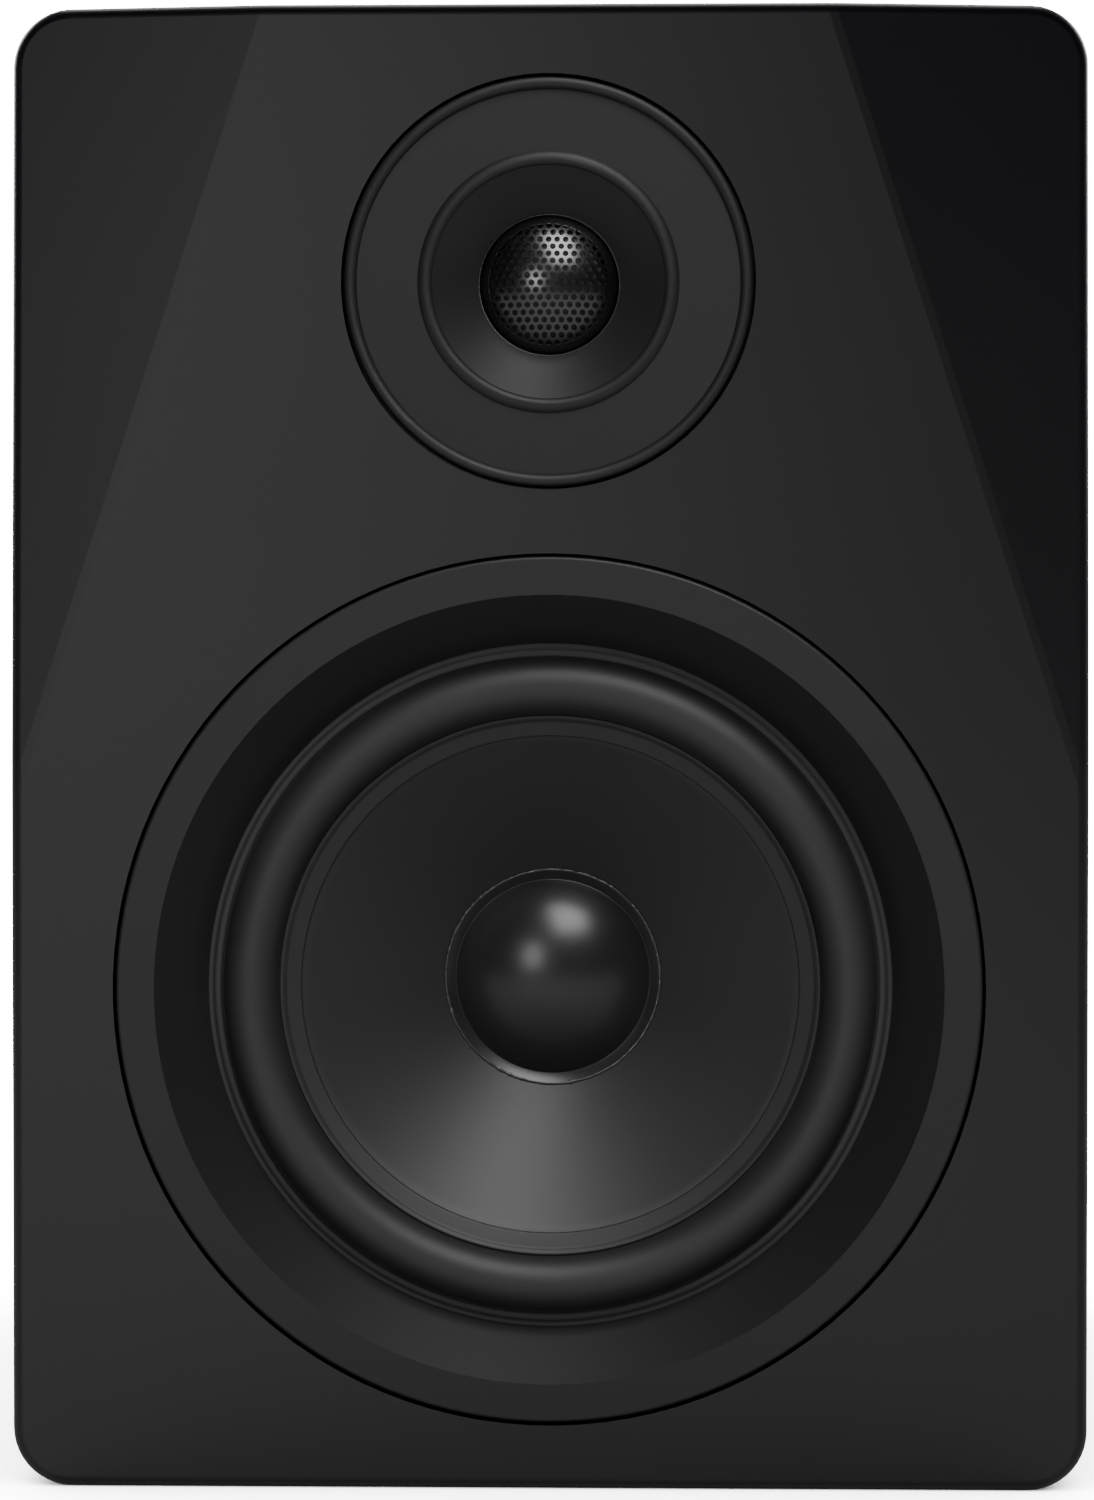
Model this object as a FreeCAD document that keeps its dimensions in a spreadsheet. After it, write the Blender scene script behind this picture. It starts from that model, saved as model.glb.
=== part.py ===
import FreeCAD, Part

# A two-way passive bookshelf speaker: a folded fibreboard cabinet with a faceted front baffle,
# a 130 mm woofer behind a flush trim ring, a 25 mm dome tweeter in a shallow horn, a rear port,
# a recessed terminal cup with two screw-down binding posts, and a crossover on the floor inside.
#
# +Z is up, the front faces -Y, and the origin is the middle of the underside. The drivers are
# drawn in a local frame: x across, y the depth behind the front face. Rear fittings use the same
# frame turned half round, so that y is the depth in from the rear face.

import math
import os

import Sketcher
from FreeCAD import Placement, Rotation, Vector

# Driving dimensions in millimetres. A depth is measured from the face that the piece is fitted in.
SIZES = {
    # cabinet
    "cabinet_width": 183,
    "cabinet_height": 252,
    "cabinet_depth": 200,
    "panel_thickness": 12,
    "corner_radius": 10,
    "baffle_thickness": 24,
    "baffle_edge_round": 2,
    "facet_inset": 44,  # from the side to where the crease meets the top
    "facet_drop": 136,  # from the top to where the crease meets the side
    "facet_fall": 5,  # depth of the facet at the corner
    "crease_round": 12,
    # woofer, front
    "woofer_below": 11.4,  # from the underside to the trim ring
    "cutout_clearance": 2.5,
    "trim_gap": 0.5,
    "trim_face_width": 6.5,
    "trim_lap": 1.6,  # of the trim's lip over the surround's foot
    "trim_wall": 2,
    "skirt_wall": 1.8,
    "skirt_gap": 0.3,
    "trim_edge_round": 0.6,
    "trim_lip": 0.5,
    "peg_edge": 3.5,  # from the rim of the basket
    "peg_radius": 1.5,
    "peg_length": 17.5,
    "peg_clearance": 0.1,
    "screw_edge": 4.5,  # from the rim of the basket
    "surround_front": 10.7,
    "rubber_thickness": 0.8,
    "roll_outer": 56.3,
    "roll_width": 9.55,
    "frame_lap": 4.2,
    "cone_lap": 3.85,
    "rim_fall": 1.4,
    "woofer_gasket": 1.5,
    "woofer_screw_radius": 2,
    "woofer_screw_head": 4,
    "woofer_screw_head_height": 2.6,
    "woofer_screw_length": 12,
    "screw_clearance": 0.2,
    "thread_clearance": 0.05,
    # woofer, moving parts
    "cone_wall": 0.8,
    "cone_depth": 22.6,
    "cone_neck_length": 2.5,
    "cap_gap": 4.15,  # from the former to the edge of the dome
    "cap_ring_width": 1.64,
    "cap_rise": 9,
    "cap_wall": 0.5,
    "former_inner": 12.75,
    "former_wall": 0.3,
    "former_length": 27,
    "former_above_neck": 1.5,
    "winding_wall": 0.55,
    "winding_length": 12,
    "spider_sheet": 0.6,
    "spider_neck": 2.95,
    # woofer, frame and magnet
    "basket_sheet": 1.5,
    "throat_gap": 0.7,
    "flange_width": 10.5,
    "shelf_clearance": 4,  # from the end of the cone's neck
    "shelf_outer": 38,
    "shelf_inner": 31.5,
    "well_depth": 10,  # from the spider's shelf to the top plate
    "bore_step": 0.9,
    "window_width": 30,
    "window_count": 6,
    "top_plate_radius": 35,
    "top_plate_thickness": 6,
    "coil_inner_gap": 0.55,
    "coil_outer_gap": 0.5,
    "magnet_radius": 40,
    "magnet_step": 5.9,
    "magnet_thickness": 15,
    "yoke_radius": 36,
    "yoke_thickness": 6,
    "vent_radius": 4,
    "strip_width": 22,
    "strip_length": 16.5,
    "strip_thickness": 1.5,
    "strip_gap": 0.5,  # from the basket's wall
    "lug_spacing": 14,
    "lug_width": 3,
    "lug_thickness": 0.6,
    "lug_length": 17,
    "lug_start": 7.5,  # from the lower edge of the strip
    "tinsel_radius": 0.6,
    # tweeter
    "tweeter_below_top": 47,
    "tweeter_radius": 34.7,
    "tweeter_gap": 0.4,
    "hub_clearance": 1,
    "face_set_back": 1,
    "bead_width": 2.2,
    "flange_back": 5,
    "collar_outer": 22.2,
    "collar_crown": 20.7,
    "collar_front": 0.2,
    "collar_bend": 1.2,
    "horn_mouth": 19.7,
    "horn_mouth_depth": 0.9,
    "guard_clearance": 0.2,
    "horn_throat_depth": 6.5,
    "hub_radius": 26,
    "hub_back": 8.4,
    "grille_seat_depth": 7,
    "grille_sheet": 0.4,
    "grille_lap": 0.6,  # of the dome's edge by the grille
    "grille_rim": 2.1,
    "grille_rise": 5.5,
    "grille_hole": 0.46,
    "grille_pitch": 1.38,
    "grille_plain_edge": 0.9,
    "seat_step": 3.5,  # from the dome to the wall of its chamber
    "tweeter_gasket": 1,
    "dome_radius": 12.5,
    "dome_rise": 4,
    "dome_sheet": 0.3,
    "edge_roll_width": 2.5,
    "edge_roll_rise": 0.7,
    "edge_rim": 5.5,
    "ring_gap": 0.2,
    "ring_width": 4.8,
    "ring_thickness": 1,
    "tweeter_coil_length": 6,
    "tweeter_coil_wall": 0.4,
    "tweeter_plate_radius": 22,
    "tweeter_outer_gap": 0.6,
    "tweeter_inner_gap": 0.2,
    "tweeter_plate_thickness": 3,
    "tweeter_magnet_radius": 25,
    "tweeter_magnet_step": 2.5,
    "tweeter_magnet_thickness": 8,
    "tweeter_yoke_thickness": 3.5,
    "tweeter_screw_edge": 3.7,
    "tweeter_screw_radius": 1.5,
    "tweeter_screw_head": 2.7,
    "tweeter_screw_head_height": 2,
    "tweeter_screw_seat": 13,
    "tweeter_screw_tip": 2.6,
    "tab_block_width": 22,
    "tab_block_height": 10,
    "tab_block_thickness": 1.5,
    "tab_spacing": 14,
    "tab_width": 2.8,
    "tab_length": 7,
    # port
    "port_below_top": 62,
    "port_radius": 17,
    "port_wall": 2,
    "port_length": 100,
    "flare_widening": 7,
    "flare_depth": 12,
    "flare_rim": 3,
    "flare_flange_thickness": 3,
    "flare_sleeve_wall": 2.4,
    "flare_shoulder": 16,
    "flare_sleeve_end": 26,
    "port_clearance": 0.2,
    # terminal cup
    "cup_height": 75,
    "cup_flange": 12,
    "cup_flange_thickness": 3,
    "cup_flange_radius": 6,
    "cup_gasket": 1,
    "cup_width": 54,
    "cup_recess_height": 34,
    "cup_recess_depth": 24,
    "cup_wall": 2.5,
    "cup_inner_radius": 3,
    "cup_clearance": 0.5,
    "cup_screw_edge": 5.5,
    "cup_screw_radius": 1.6,
    "cup_screw_head": 3.1,
    "cup_screw_tip": 11.5,
    # binding posts
    "post_spacing": 19,
    "stud_radius": 3,
    "stud_tip": 4,
    "stud_end": 38,
    "socket_radius": 2,
    "socket_length": 12,
    "wire_hole_radius": 1.1,
    "wire_hole_depth": 18.3,
    "collar_radius": 6.5,
    "collar_thickness": 3,
    "washer_radius": 5.6,
    "washer_thickness": 1,
    "cap_radius": 6.5,
    "cap_length": 18,
    "cap_end_wall": 1.5,
    "cap_end_hole": 2.6,
    "cap_flute": 0.8,
    "cap_flute_count": 16,
    "running_clearance": 0.08,
    "nut_wall": 2,
    "nut_thickness": 4.5,
    "solder_lug_thickness": 0.8,
    "solder_lug_radius": 5.5,
    "solder_lug_width": 4,
    "solder_lug_reach": 14,
    # crossover
    "board_width": 90,
    "board_length": 74,
    "board_thickness": 1.6,
    "board_corner": 2,
    "board_from_rear": 77,
    "standoff_height": 8,
    "standoff_radius": 3,
    "board_screw_inset": 5,
    "board_screw_radius": 1.5,
    "board_screw_head": 2.8,
    "board_screw_head_height": 2,
    "board_screw_bite": 8,
    "coils_x": -24,
    "big_coil_y": 7,
    "small_coil_y": 24,
    "big_coil_radius": 19,
    "big_coil_bore": 9,
    "big_coil_height": 18,
    "small_coil_radius": 10,
    "small_coil_bore": 5,
    "small_coil_height": 12,
    "film_cap_radius": 7,
    "film_cap_length": 25,
    "small_film_cap_radius": 6,
    "small_film_cap_length": 22,
    "can_radius": 7,
    "can_length": 26,
    "can_edge": 1,
    "resistor_width": 9,
    "resistor_length": 22,
    "hookup_radius": 1.1,
    # damping
    "wadding_thickness": 12,
    "wadding_end_gap": 25,
    "wadding_foot_gap": 36,
    "wadding_side_gap": 36.5,
    "wadding_round": 4,
}
QUARTER = math.sqrt(0.5)  # cosine of 45 degrees

doc = FreeCAD.newDocument("bookshelf_speaker")
sheet = doc.addObject("Spreadsheet::Sheet", "sizes")
for row, (alias, number) in enumerate(SIZES.items(), 1):
    sheet.set(f"A{row}", alias)
    sheet.set(f"B{row}", str(number))
    sheet.setAlias(f"B{row}", alias)
doc.recompute()


class Size:
    """A length with the spreadsheet expression that gives it."""

    def __init__(self, value, text=None):
        self.value = float(value)
        self.bound = text is not None
        self.text = text or repr(float(value))

    def join(self, sign, other, value):
        joined = Size(value, f"({self.text} {sign} {other.text})")
        joined.bound = self.bound or other.bound
        return joined

    def __add__(self, other):
        other = sized(other)
        return self.join("+", other, self.value + other.value)

    def __sub__(self, other):
        other = sized(other)
        return self.join("-", other, self.value - other.value)

    def __mul__(self, other):
        other = sized(other)
        return self.join("*", other, self.value * other.value)

    def __truediv__(self, other):
        other = sized(other)
        return self.join("/", other, self.value / other.value)

    def __radd__(self, other):
        return sized(other) + self

    def __rsub__(self, other):
        return sized(other) - self

    def __rmul__(self, other):
        return sized(other) * self

    def __neg__(self):
        return self * -1


def sized(value):
    return value if isinstance(value, Size) else Size(value)


def root(size):
    return Size(math.sqrt(size.value), f"sqrt({size.text})")


def slope_angle(ratio):
    """The angle in degrees whose tangent is ratio."""
    return Size(math.degrees(math.atan(ratio.value)), f"(atan({ratio.text}) / 1 deg)")


class Sheet:
    """mm.cabinet_width is the size in the cell with that alias."""

    def __getattr__(self, alias):
        return Size(SIZES[alias], f"sizes.{alias}")


mm = Sheet()

# Sizes and places that several pieces share.
front_y = mm.cabinet_depth / -2
rear_y = mm.cabinet_depth / 2
half_width = mm.cabinet_width / 2
half_height = mm.cabinet_height / 2
floor_z = mm.panel_thickness
# Woofer radii, from the surround outwards and inwards.
roll_inner = mm.roll_outer - mm.roll_width
foot_outer = mm.roll_outer + mm.frame_lap
foot_inner = roll_inner - mm.cone_lap
cone_rim = roll_inner + mm.rubber_thickness
basket_throat = mm.roll_outer + mm.throat_gap
woofer_cutout = basket_throat + mm.basket_sheet + mm.cutout_clearance
basket_radius = woofer_cutout + mm.flange_width
screw_circle = basket_radius - mm.screw_edge
peg_circle = basket_radius - mm.peg_edge
skirt_inner = basket_radius + mm.skirt_gap
trim_radius = skirt_inner + mm.skirt_wall
trim_face_inner = trim_radius - mm.trim_face_width
trim_throat = foot_outer - mm.trim_lap
woofer_height = trim_radius + mm.woofer_below
former_outer = mm.former_inner + mm.former_wall
winding_outer = former_outer + mm.winding_wall
pole_radius = mm.former_inner - mm.coil_inner_gap
top_plate_bore = winding_outer + mm.coil_outer_gap
cap_inner = former_outer + mm.cap_gap
cap_outer = cap_inner + mm.cap_ring_width
# Woofer depths, from the surround backwards.
foot_front = mm.surround_front
basket_front = foot_front + mm.rubber_thickness
basket_flange_back = basket_front + mm.basket_sheet
woofer_seat = basket_flange_back + mm.woofer_gasket
cone_edge_depth = basket_front + mm.rim_fall
cone_slope = mm.cone_depth / (foot_inner - former_outer)
neck_depth = cone_edge_depth + mm.cone_depth
neck_end = neck_depth + mm.cone_neck_length
former_top = neck_depth - mm.former_above_neck
former_end = former_top + mm.former_length
shelf_depth = neck_end + mm.shelf_clearance
strip_front = shelf_depth + mm.basket_sheet
top_plate_front = shelf_depth + mm.well_depth
magnet_front = top_plate_front + mm.top_plate_thickness
yoke_front = magnet_front + mm.magnet_thickness
yoke_back = yoke_front + mm.yoke_thickness
strip_bottom = mm.shelf_inner + mm.basket_sheet + mm.strip_gap
lug_bottom = strip_bottom + mm.lug_start
# Tweeter, from the dome outwards and from the faceplate backwards.
tweeter_height = mm.cabinet_height - mm.tweeter_below_top
grille_radius = mm.dome_radius - mm.grille_lap
grille_flange = grille_radius + mm.grille_rim
horn_throat = grille_radius + mm.guard_clearance
edge_roll_outer = mm.dome_radius + mm.edge_roll_width
edge_rim = mm.dome_radius + mm.edge_rim
diaphragm_seat = mm.dome_radius + mm.seat_step
ring_bore = edge_roll_outer + mm.ring_gap
ring_radius = ring_bore + mm.ring_width
dome_inner = mm.dome_radius - mm.dome_sheet
tweeter_winding = mm.dome_radius + mm.tweeter_coil_wall
tweeter_plate_bore = tweeter_winding + mm.tweeter_outer_gap
tweeter_pole_radius = dome_inner - mm.tweeter_inner_gap
tweeter_cutout = mm.hub_radius + mm.hub_clearance
tweeter_screw_circle = mm.tweeter_radius - mm.tweeter_screw_edge
tweeter_seat = mm.flange_back + mm.tweeter_gasket
edge_front = mm.hub_back
ring_front = edge_front + mm.dome_sheet
tweeter_plate_front = ring_front + mm.ring_thickness
tweeter_magnet_front = tweeter_plate_front + mm.tweeter_plate_thickness
tweeter_yoke_front = tweeter_magnet_front + mm.tweeter_magnet_thickness
tweeter_yoke_back = tweeter_yoke_front + mm.tweeter_yoke_thickness
tab_front = tweeter_yoke_back + mm.tab_block_thickness
# Port, terminal cup and posts, as depths from the rear face.
port_height = mm.cabinet_height - mm.port_below_top
port_outer = mm.port_radius + mm.port_wall
flare_mouth = mm.port_radius + mm.flare_widening
flare_flange = flare_mouth + mm.flare_rim
sleeve_bore = port_outer + mm.peg_clearance
sleeve_outer = sleeve_bore + mm.flare_sleeve_wall
cup_rebate = mm.cup_flange_thickness + mm.cup_gasket
cup_flange_width = mm.cup_width + mm.cup_flange * 2
cup_flange_height = mm.cup_recess_height + mm.cup_flange * 2
cup_screw_x = cup_flange_width / 2 - mm.cup_screw_edge
cup_screw_z = cup_flange_height / 2 - mm.cup_screw_edge
cup_body_width = mm.cup_width + mm.cup_wall * 2
cup_body_height = mm.cup_recess_height + mm.cup_wall * 2
cup_back = mm.cup_recess_depth + mm.cup_wall
collar_front = mm.cup_recess_depth - mm.collar_thickness
washer_front = collar_front - mm.washer_thickness
post_cap_front = washer_front - mm.cap_length
nut_width = (mm.stud_radius + mm.nut_wall) * 2
nut_back = cup_back + mm.nut_thickness
solder_lug_back = nut_back + mm.solder_lug_thickness
lug_wire_depth = nut_back + mm.solder_lug_thickness / 2
board_middle = rear_y - mm.board_from_rear
board_bottom = floor_z + mm.standoff_height
board_top = board_bottom + mm.board_thickness

sub_parts = []


def keep(thing, label):
    """Makes this object a sub-part with that name."""
    thing.Label = label
    sub_parts.append(thing)
    return thing


def bind(thing, path, size):
    if size.bound:
        thing.setExpression(path, size.text)


def place(thing, x=0, y=0, z=0, axis=(0, 0, 1), angle=0):
    """Puts thing at x, y, z, turned by angle about axis, bound to the sheet."""
    at = [sized(value) for value in (x, y, z)]
    turn = sized(angle)
    thing.Placement = Placement(Vector(*[s.value for s in at]), Rotation(Vector(*axis), turn.value))
    for name, size in zip("xyz", at):
        bind(thing, f"Placement.Base.{name}", size)
    bind(thing, "Placement.Rotation.Angle", turn)
    return thing


def at_front(body, height):
    return place(body, y=front_y, z=height)


def at_rear(body, height, x=0):
    return place(body, x=x, y=rear_y, z=height, angle=180)


def origin_feature(body, role):
    return next(f for f in body.Origin.OriginFeatures if f.Role == role)


def new_sketch(body, plane="XY_Plane", lift=0):
    """A sketch on one of the body's origin planes, lifted along the plane's normal."""
    sketch = body.newObject("Sketcher::SketchObject", "sketch")
    sketch.AttachmentSupport = [(origin_feature(body, plane), "")]
    sketch.MapMode = "FlatFace"
    lift = sized(lift)
    sketch.AttachmentOffset = Placement(Vector(0, 0, lift.value), Rotation())
    bind(sketch, "AttachmentOffset.Base.z", lift)
    return sketch


def dimension(sketch, kind, geometry, point, size):
    """Adds one dimension to a sketch and binds it to the sheet."""
    if kind == "Radius":
        index = sketch.addConstraint(Sketcher.Constraint(kind, geometry, size.value))
    else:
        index = sketch.addConstraint(Sketcher.Constraint(kind, geometry, point, size.value))
    bind(sketch, f"Constraints[{index}]", size)


def arc_between(start, end, radius):
    """The short arc from start to end. Its centre is left of the way for a positive radius."""
    middle, chord = (start + end) / 2, end - start
    reach = math.sqrt(max(radius * radius - (chord.Length / 2) ** 2, 0))
    side = Vector(-chord.y, chord.x, 0).normalize() * math.copysign(reach, radius)
    centre = middle + side
    first, last = (start, end) if radius > 0 else (end, start)
    angles = [math.atan2(p.y - centre.y, p.x - centre.x) for p in (first, last)]
    circle = Part.Circle(centre, Vector(0, 0, 1), abs(radius))
    return Part.ArcOfCircle(circle, *angles)


def draw(sketch, corners):
    """Draws a closed outline. A corner is (x, y), or (x, y, radius) if an arc leaves it."""
    base = sketch.GeometryCount
    corners = [[sized(value) for value in corner] for corner in corners]
    ends = []
    for corner, following in zip(corners, corners[1:] + corners[:1]):
        start, end = (Vector(c[0].value, c[1].value, 0) for c in (corner, following))
        curved = len(corner) == 3
        edge = arc_between(start, end, corner[2].value) if curved else Part.LineSegment(start, end)
        sketch.addGeometry(edge, False)
        ends.append((2, 1) if curved and corner[2].value < 0 else (1, 2))
    for number, corner in enumerate(corners):
        following = (number + 1) % len(corners)
        joint = (base + number, ends[number][1], base + following, ends[following][0])
        sketch.addConstraint(Sketcher.Constraint("Coincident", *joint))
        dimension(sketch, "DistanceX", base + number, ends[number][0], corner[0])
        dimension(sketch, "DistanceY", base + number, ends[number][0], corner[1])
        if len(corner) == 3:
            positive = corner[2] if corner[2].value > 0 else -corner[2]
            dimension(sketch, "Radius", base + number, 0, positive)
    return sketch


def draw_circles(sketch, radius, *centres):
    radius = sized(radius)
    for x, z in centres:
        x, z = sized(x), sized(z)
        circle = Part.Circle(Vector(x.value, z.value, 0), Vector(0, 0, 1), radius.value)
        number = sketch.addGeometry(circle, False)
        dimension(sketch, "DistanceX", number, 3, x)
        dimension(sketch, "DistanceY", number, 3, z)
        dimension(sketch, "Radius", number, 0, radius)
    return sketch


def rounded(width, height, radius, middle=0):
    """The corners of an upright rectangle with round corners, anticlockwise."""
    x, z, r = width / 2, height / 2, sized(radius)
    return [
        (-x + r, middle - z),
        (x - r, middle - z, r),
        (x, middle - z + r),
        (x, middle + z - r, r),
        (x - r, middle + z),
        (-x + r, middle + z, r),
        (-x, middle + z - r),
        (-x, middle - z + r, r),
    ]


def around(circle, offset_turned=True):
    """Four places on a circle: on the diagonals, or on the axes."""
    if offset_turned:
        reach = circle * QUARTER
        return [(reach, reach), (-reach, reach), (-reach, -reach), (reach, -reach)]
    return [(circle, 0), (0, circle), (-circle, 0), (0, -circle)]


def new_body(label):
    return doc.addObject("PartDesign::Body", label)


def feature(body, kind, profile, **settings):
    """Adds a PartDesign feature. A Size among its settings is bound to the sheet."""
    made = body.newObject(f"PartDesign::{kind}", kind.lower())
    if profile is not None:
        made.Profile = profile
    for name, value in settings.items():
        if isinstance(value, Size):
            setattr(made, name, value.value)
            bind(made, name, value)
        else:
            setattr(made, name, value)
    body.Tip = made
    return made


def cut(body, kind, profile, **settings):
    """Adds a cutting feature and makes sure that it takes material away."""
    doc.recompute()
    before = body.Shape.Volume
    made = feature(body, kind, profile, **settings)
    doc.recompute()
    if body.Shape.Volume > before - 1e-3:
        raise ValueError(f"{body.Name}: {made.Name} cuts nothing")
    return made


def turned(label, corners):
    """A body of revolution. Its outline is (radius, depth), and it turns about the y axis."""
    body = new_body(label)
    sketch = draw(new_sketch(body), corners)
    feature(body, "Revolution", sketch, ReferenceAxis=(sketch, ["V_Axis"]), Angle=360.0)
    return body


def tube(label, bore, radius, start, end):
    return turned(label, [(bore, start), (radius, start), (radius, end), (bore, end)])


def slab(body, profile, length):
    """Pads a sketch on an XZ plane away from the face, towards +y."""
    return feature(body, "Pad", profile, Length=sized(length), Reversed=True)


def bored(body, radius, centres, start, depth):
    """Round holes along y that begin at depth start."""
    profile = draw_circles(new_sketch(body, "XZ_Plane", -sized(start)), radius, *centres)
    return cut(body, "Pocket", profile, Length=sized(depth))


def patterned(body, made, count):
    """Repeats a feature evenly round the y axis."""
    axis = (origin_feature(body, "Y_Axis"), [""])
    pattern = body.newObject("PartDesign::PolarPattern", "pattern")
    pattern.Originals = [made]
    pattern.Axis = axis
    pattern.Angle = 360
    pattern.Occurrences = int(count.value)
    bind(pattern, "Occurrences", count)
    body.Tip = pattern
    return pattern


def edges_where(body, chosen):
    """Names of the edges whose sample points all pass the test."""
    doc.recompute()
    names = []
    for number, edge in enumerate(body.Shape.Edges, 1):
        first, last = edge.ParameterRange
        points = [edge.valueAt(first + (last - first) * share) for share in (0, 0.3, 0.5, 0.8, 1)]
        local = [body.Placement.inverse().multVec(point) for point in points]
        if all(chosen(point) for point in local):
            names.append(f"Edge{number}")
    return names


def round_edges(body, chosen, radius, kind="Fillet"):
    """Rounds or chamfers the chosen edges of a body."""
    names = edges_where(body, chosen)
    tip = body.Tip
    made = body.newObject(f"PartDesign::{kind}", kind.lower())
    made.Base = (tip, names)
    name = "Radius" if kind == "Fillet" else "Size"
    setattr(made, name, radius.value)
    bind(made, name, radius)
    body.Tip = made
    return made


def screw_group(label, spots, head, head_height, shank, seat, tip, to_front=False):
    """Identical screws along y: heads stand on depth seat and shanks run to depth tip."""
    body = new_body(label)
    lift = -seat if to_front else -(seat - head_height)
    heads = draw_circles(new_sketch(body, "XZ_Plane", lift), head, *spots)
    slab(body, heads, head_height)
    length = seat - tip if to_front else tip - seat
    shanks = draw_circles(new_sketch(body, "XZ_Plane", -tip if to_front else -seat), shank, *spots)
    slab(body, shanks, length)
    face = seat + head_height if to_front else seat - head_height
    recess = new_sketch(body, "XZ_Plane", -face)
    for x, z in spots:
        draw(recess, cross(sized(x), sized(z), head * 0.6, head * 0.17))
    cut(body, "Pocket", recess, Length=head_height * 0.6, Reversed=to_front)
    return body


def cross(x, z, arm, half):
    """The outline of a cross recess."""
    return [
        (x - arm, z - half),
        (x - half, z - half),
        (x - half, z - arm),
        (x + half, z - arm),
        (x + half, z - half),
        (x + arm, z - half),
        (x + arm, z + half),
        (x + half, z + half),
        (x + half, z + arm),
        (x - half, z + arm),
        (x - half, z + half),
        (x - arm, z + half),
    ]


def cable_shape(points, radius):
    """A round wire along straight runs that are joined by the largest arcs that fit them."""
    points = [Vector(*point) for point in points]
    edges, here = [], points[0]
    for before, corner, after in zip(points, points[1:], points[2:]):
        way_in, way_out = (corner - before), (after - corner)
        turn = way_in.getAngle(way_out)
        reach = 0.45 * min(way_in.Length, way_out.Length)
        way_in, way_out = way_in.normalize(), way_out.normalize()
        start, end = corner - way_in * reach, corner + way_out * reach
        bend = reach / math.tan(turn / 2)
        centre_way = (way_out - way_in).normalize()
        middle = corner + centre_way * (bend / math.cos(turn / 2) - bend)
        edges.append(Part.LineSegment(here, start).toShape())
        edges.append(Part.Arc(start, middle, end).toShape())
        here = end
    edges.append(Part.LineSegment(here, points[-1]).toShape())
    path = Part.Wire(edges)
    circle = Part.Wire(Part.Circle(points[0], points[1] - points[0], radius).toShape())
    solid = path.makePipeShell([circle], True, True)
    expected = path.Length * math.pi * radius * radius
    if not solid.isValid() or abs(solid.Volume / expected - 1) > 0.02:
        raise ValueError("a wire's sweep has the wrong volume")
    return solid


def cables(label, routes, radius):
    """Wires that share a node, as separate solids."""
    made = doc.addObject("Part::Feature", label)
    made.Shape = Part.Compound([cable_shape(route, radius.value) for route in routes])
    return keep(made, label)


def facet_cutter(side):
    """A long wedge whose lower face is the facet's plane."""
    corner_reach = root(mm.facet_inset * mm.facet_inset + mm.facet_drop * mm.facet_drop)
    corner_distance = mm.facet_inset * mm.facet_drop / corner_reach
    reach = mm.facet_drop / 2
    body = new_body(f"facet_cutter_{'right' if side > 0 else 'left'}")
    profile = [
        (0, 0),
        (0, -mm.facet_fall),
        (reach, -mm.facet_fall),
        (reach, mm.facet_fall * reach / corner_distance),
    ]
    sketch = draw(new_sketch(body), profile)
    feature(body, "Pad", sketch, Length=mm.cabinet_height * 2, Midplane=True)
    tilt = slope_angle(mm.facet_inset / mm.facet_drop)
    angle = -tilt if side > 0 else 180 + tilt
    x = (half_width - mm.facet_inset) * side
    return place(body, x=x, z=mm.cabinet_height, axis=(0, 1, 0), angle=angle)


def on_outline(point):
    """Whether a point of the baffle lies on its outer wall."""
    r = mm.corner_radius.value
    dx = max(abs(point.x) - (half_width.value - r), 0)
    dz = max(abs(point.z - half_height.value) - (half_height.value - r), 0)
    return abs(math.hypot(dx, dz) - r) < 1e-3


def on_crease(point):
    """Whether a point of the front face lies on the line where a facet begins."""
    across = (abs(point.x) - (half_width - mm.facet_inset).value) / mm.facet_inset.value
    down = (mm.cabinet_height.value - point.z) / mm.facet_drop.value
    return abs(across - down) < 1e-3


def front_baffle():
    """The faceted board with stepped seats for both drivers."""
    body = new_body("front_baffle")
    outline = rounded(mm.cabinet_width, mm.cabinet_height, mm.corner_radius, half_height)
    slab(body, draw(new_sketch(body, "XZ_Plane"), outline), mm.baffle_thickness)
    facets = body.newObject("PartDesign::Boolean", "facets")
    facets.Type = "Cut"
    facets.setObjects([facet_cutter(1), facet_cutter(-1)])
    body.Tip = facets
    fall = mm.facet_fall.value
    round_edges(body, lambda p: abs(p.y) < 1e-3 and on_crease(p), mm.crease_round)
    round_edges(body, lambda p: on_outline(p) and p.y < fall + 0.1, mm.baffle_edge_round)
    woofer_at, tweeter_at = [(0, woofer_height)], [(0, tweeter_height)]
    bored(body, trim_radius + mm.trim_gap, woofer_at, 0, woofer_seat)
    bored(body, woofer_cutout, woofer_at, 0, mm.baffle_thickness)
    bored(body, mm.tweeter_radius + mm.tweeter_gap, tweeter_at, 0, tweeter_seat)
    bored(body, tweeter_cutout, tweeter_at, 0, mm.baffle_thickness)
    pilots = [(x, z + woofer_height) for x, z in around(screw_circle)]
    thread = mm.woofer_screw_radius + mm.thread_clearance
    bored(body, thread, pilots, woofer_seat, mm.baffle_thickness - woofer_seat)
    pegs = [(x, z + woofer_height) for x, z in around(peg_circle, False)]
    peg_bottom = mm.trim_wall / 2 + mm.peg_length + mm.trim_gap
    bored(body, mm.peg_radius + mm.peg_clearance, pegs, woofer_seat, peg_bottom - woofer_seat)
    holes = [(x, z + tweeter_height) for x, z in around(tweeter_screw_circle)]
    way = mm.tweeter_screw_radius + mm.screw_clearance
    bored(body, way, holes, tweeter_seat, mm.baffle_thickness - tweeter_seat)
    pocket = mm.tweeter_screw_head + mm.screw_clearance
    depth = mm.baffle_thickness - mm.tweeter_screw_seat
    bored(body, pocket, holes, mm.tweeter_screw_seat, depth)
    keep(place(body, y=front_y), "front_baffle")


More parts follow.
